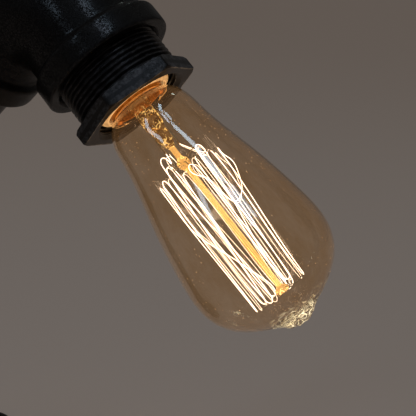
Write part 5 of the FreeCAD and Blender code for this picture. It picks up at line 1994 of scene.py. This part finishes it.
@dataclass(frozen=True)
class Studio:
    """Floor, soft light and the camera."""

    layout: Layout
    floor_r: float = 30000.0
    floor_tone: Colour = (0.42, 0.365, 0.33)
    sky_tone: Colour = (0.72, 0.69, 0.68)
    sky_strength: float = 0.1
    sun_height: float = 78.0
    sun_power: float = 0.68
    sun_tone: Colour = (1.0, 0.93, 0.86)
    camera_offset: tuple[float, float, float] = (209.94, -363.33, 54.49)
    camera_forward: tuple[float, float, float] = (-0.42582, 0.87628, -0.22542)
    camera_roll: float = math.radians(2.21)
    lens: float = 86.54
    glow_heights: tuple[float, ...] = (45.0, 82.0)
    glow_power: float = 0.2
    glow_r: float = 11.0
    glow_tone: Colour = (1.0, 0.64, 0.33)
    sun_spread: float = math.radians(60)
    floor_depth: float = 20.0
    LAMPS = (
        Lamp("window_top", 26.0, 70.0, 2.4, (0.22, 0.6), 3.0, (0.58, 0.79, 1.0)),
        Lamp("window_side", 40.0, 61.0, 2.4, (0.2, 0.4), 1.5, (0.58, 0.79, 1.0)),
        Lamp("window_foot", 29.0, 54.0, 2.4, (0.24, 0.6), 3.1, (0.66, 0.79, 1.0)),
        Lamp("second_window", -13.0, 29.0, 2.6, (0.2, 0.7), 2.5, (0.62, 0.8, 1.0)),
        Lamp("far_window", 178.0, 56.0, 2.6, (0.35, 0.25), 1.0, (0.85, 1.0, 0.92)),
    )

    def build(self) -> None:
        """Set up floor, world, lamps and camera."""
        self.floor()
        self.sky()
        self.overhead()
        for lamp in self.LAMPS:
            self.soft_light(lamp)
        for height in self.glow_heights:
            self.glow(height)
        self.camera()
        bpy.context.scene.view_settings.view_transform = "Standard"

    def floor(self) -> None:
        """A plain pale floor that reaches the horizon."""
        below = -self.floor_depth
        disc = turned(np.array([[0, 0], [self.floor_r, 0], [self.floor_r, below], [0, below]]), 48)
        mesh = Skin().add(disc, closed_rows=False).mesh("floor")
        sockets = {"Base Color": (*self.floor_tone, 1.0), "Roughness": 0.9, "Specular IOR Level": 0.15}
        mesh.materials.append(Shader("pale_floor", sockets).material)
        floor = put("floor", mesh)

    def sky(self) -> None:
        """Even light from all sides."""
        world = bpy.data.worlds.new("soft_room")
        world.use_nodes = True
        back = world.node_tree.nodes["Background"]
        back.inputs["Color"].default_value = (*self.sky_tone, 1.0)
        back.inputs["Strength"].default_value = self.sky_strength
        bpy.context.scene.world = world

    def light(
        self, name: str, kind: str, power: float, colour: Colour, **shape: object
    ) -> bpy.types.Object:
        """A light of one kind, with the settings of its shape."""
        data = bpy.data.lights.new(name, kind)
        for setting, value in {"energy": power, "color": colour, **shape}.items():
            setattr(data, setting, value)
        return put(name, data)

    def soft_light(self, lamp: Lamp) -> None:
        """One window-like light, aimed at the bulb."""
        width, height = lamp.size
        light = self.light(
            lamp.name, "AREA", lamp.power, lamp.colour, shape="RECTANGLE", size=width, size_y=height
        )
        back = lamp.direction()
        side = unit(np.cross(UP, back))
        place = self.layout.face.origin * MM + back * lamp.distance
        light.matrix_world = pose(place, side, np.cross(back, side), back)
        light.visible_camera = False

    def overhead(self) -> None:
        """Even light from above, from a very wide and distant source."""
        light = self.light("overhead", "SUN", self.sun_power, self.sun_tone, angle=self.sun_spread)
        light.rotation_euler = (math.radians(90 - self.sun_height), 0.0, 0.0)
        light.visible_glossy = light.visible_transmission = False

    def glow(self, height: float) -> None:
        """A warm light inside the bulb, at a height on its axis."""
        name, size = f"glow_{height:.0f}", self.glow_r * MM
        light = self.light(name, "POINT", self.glow_power, self.glow_tone, shadow_soft_size=size)
        light.location = self.layout.face.along(height).origin * MM
        light.visible_camera = light.visible_glossy = light.visible_transmission = False
        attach(light, "bulb")

    def camera(self) -> None:
        """The camera, a little above the bulb and in front of it."""
        data = bpy.data.cameras.new("camera")
        data.lens = self.lens
        data.clip_start, data.clip_end = 0.01, 100.0
        camera = put("camera", data)
        forward = unit(np.array(self.camera_forward))
        level = unit(np.cross(forward, UP))
        above = np.cross(level, forward)
        right = level * math.cos(self.camera_roll) + above * math.sin(self.camera_roll)
        place = (self.layout.face.origin + np.array(self.camera_offset)) * MM
        camera.matrix_world = pose(place, right, np.cross(right, forward), -forward)
        bpy.context.scene.camera = camera


def main() -> None:
    """Build the lamp piece by piece, then the studio."""
    logging.basicConfig(level=logging.INFO, format="%(name)s: %(message)s")
    pipework = PipeWork()
    layout = Layout(frame["joints"], pipework.sizes)
    bench = Bench(frame)
    Base(bench, layout, pipework).build()
    SwitchWheel(bench, layout).build()
    Arm(bench, layout, pipework).build()
    Head(bench, layout, pipework).build()
    FilamentBulb(bench, layout).build()
    bench.dress_rest()
    Studio(layout).build()


if __name__ == "__main__":
    main()
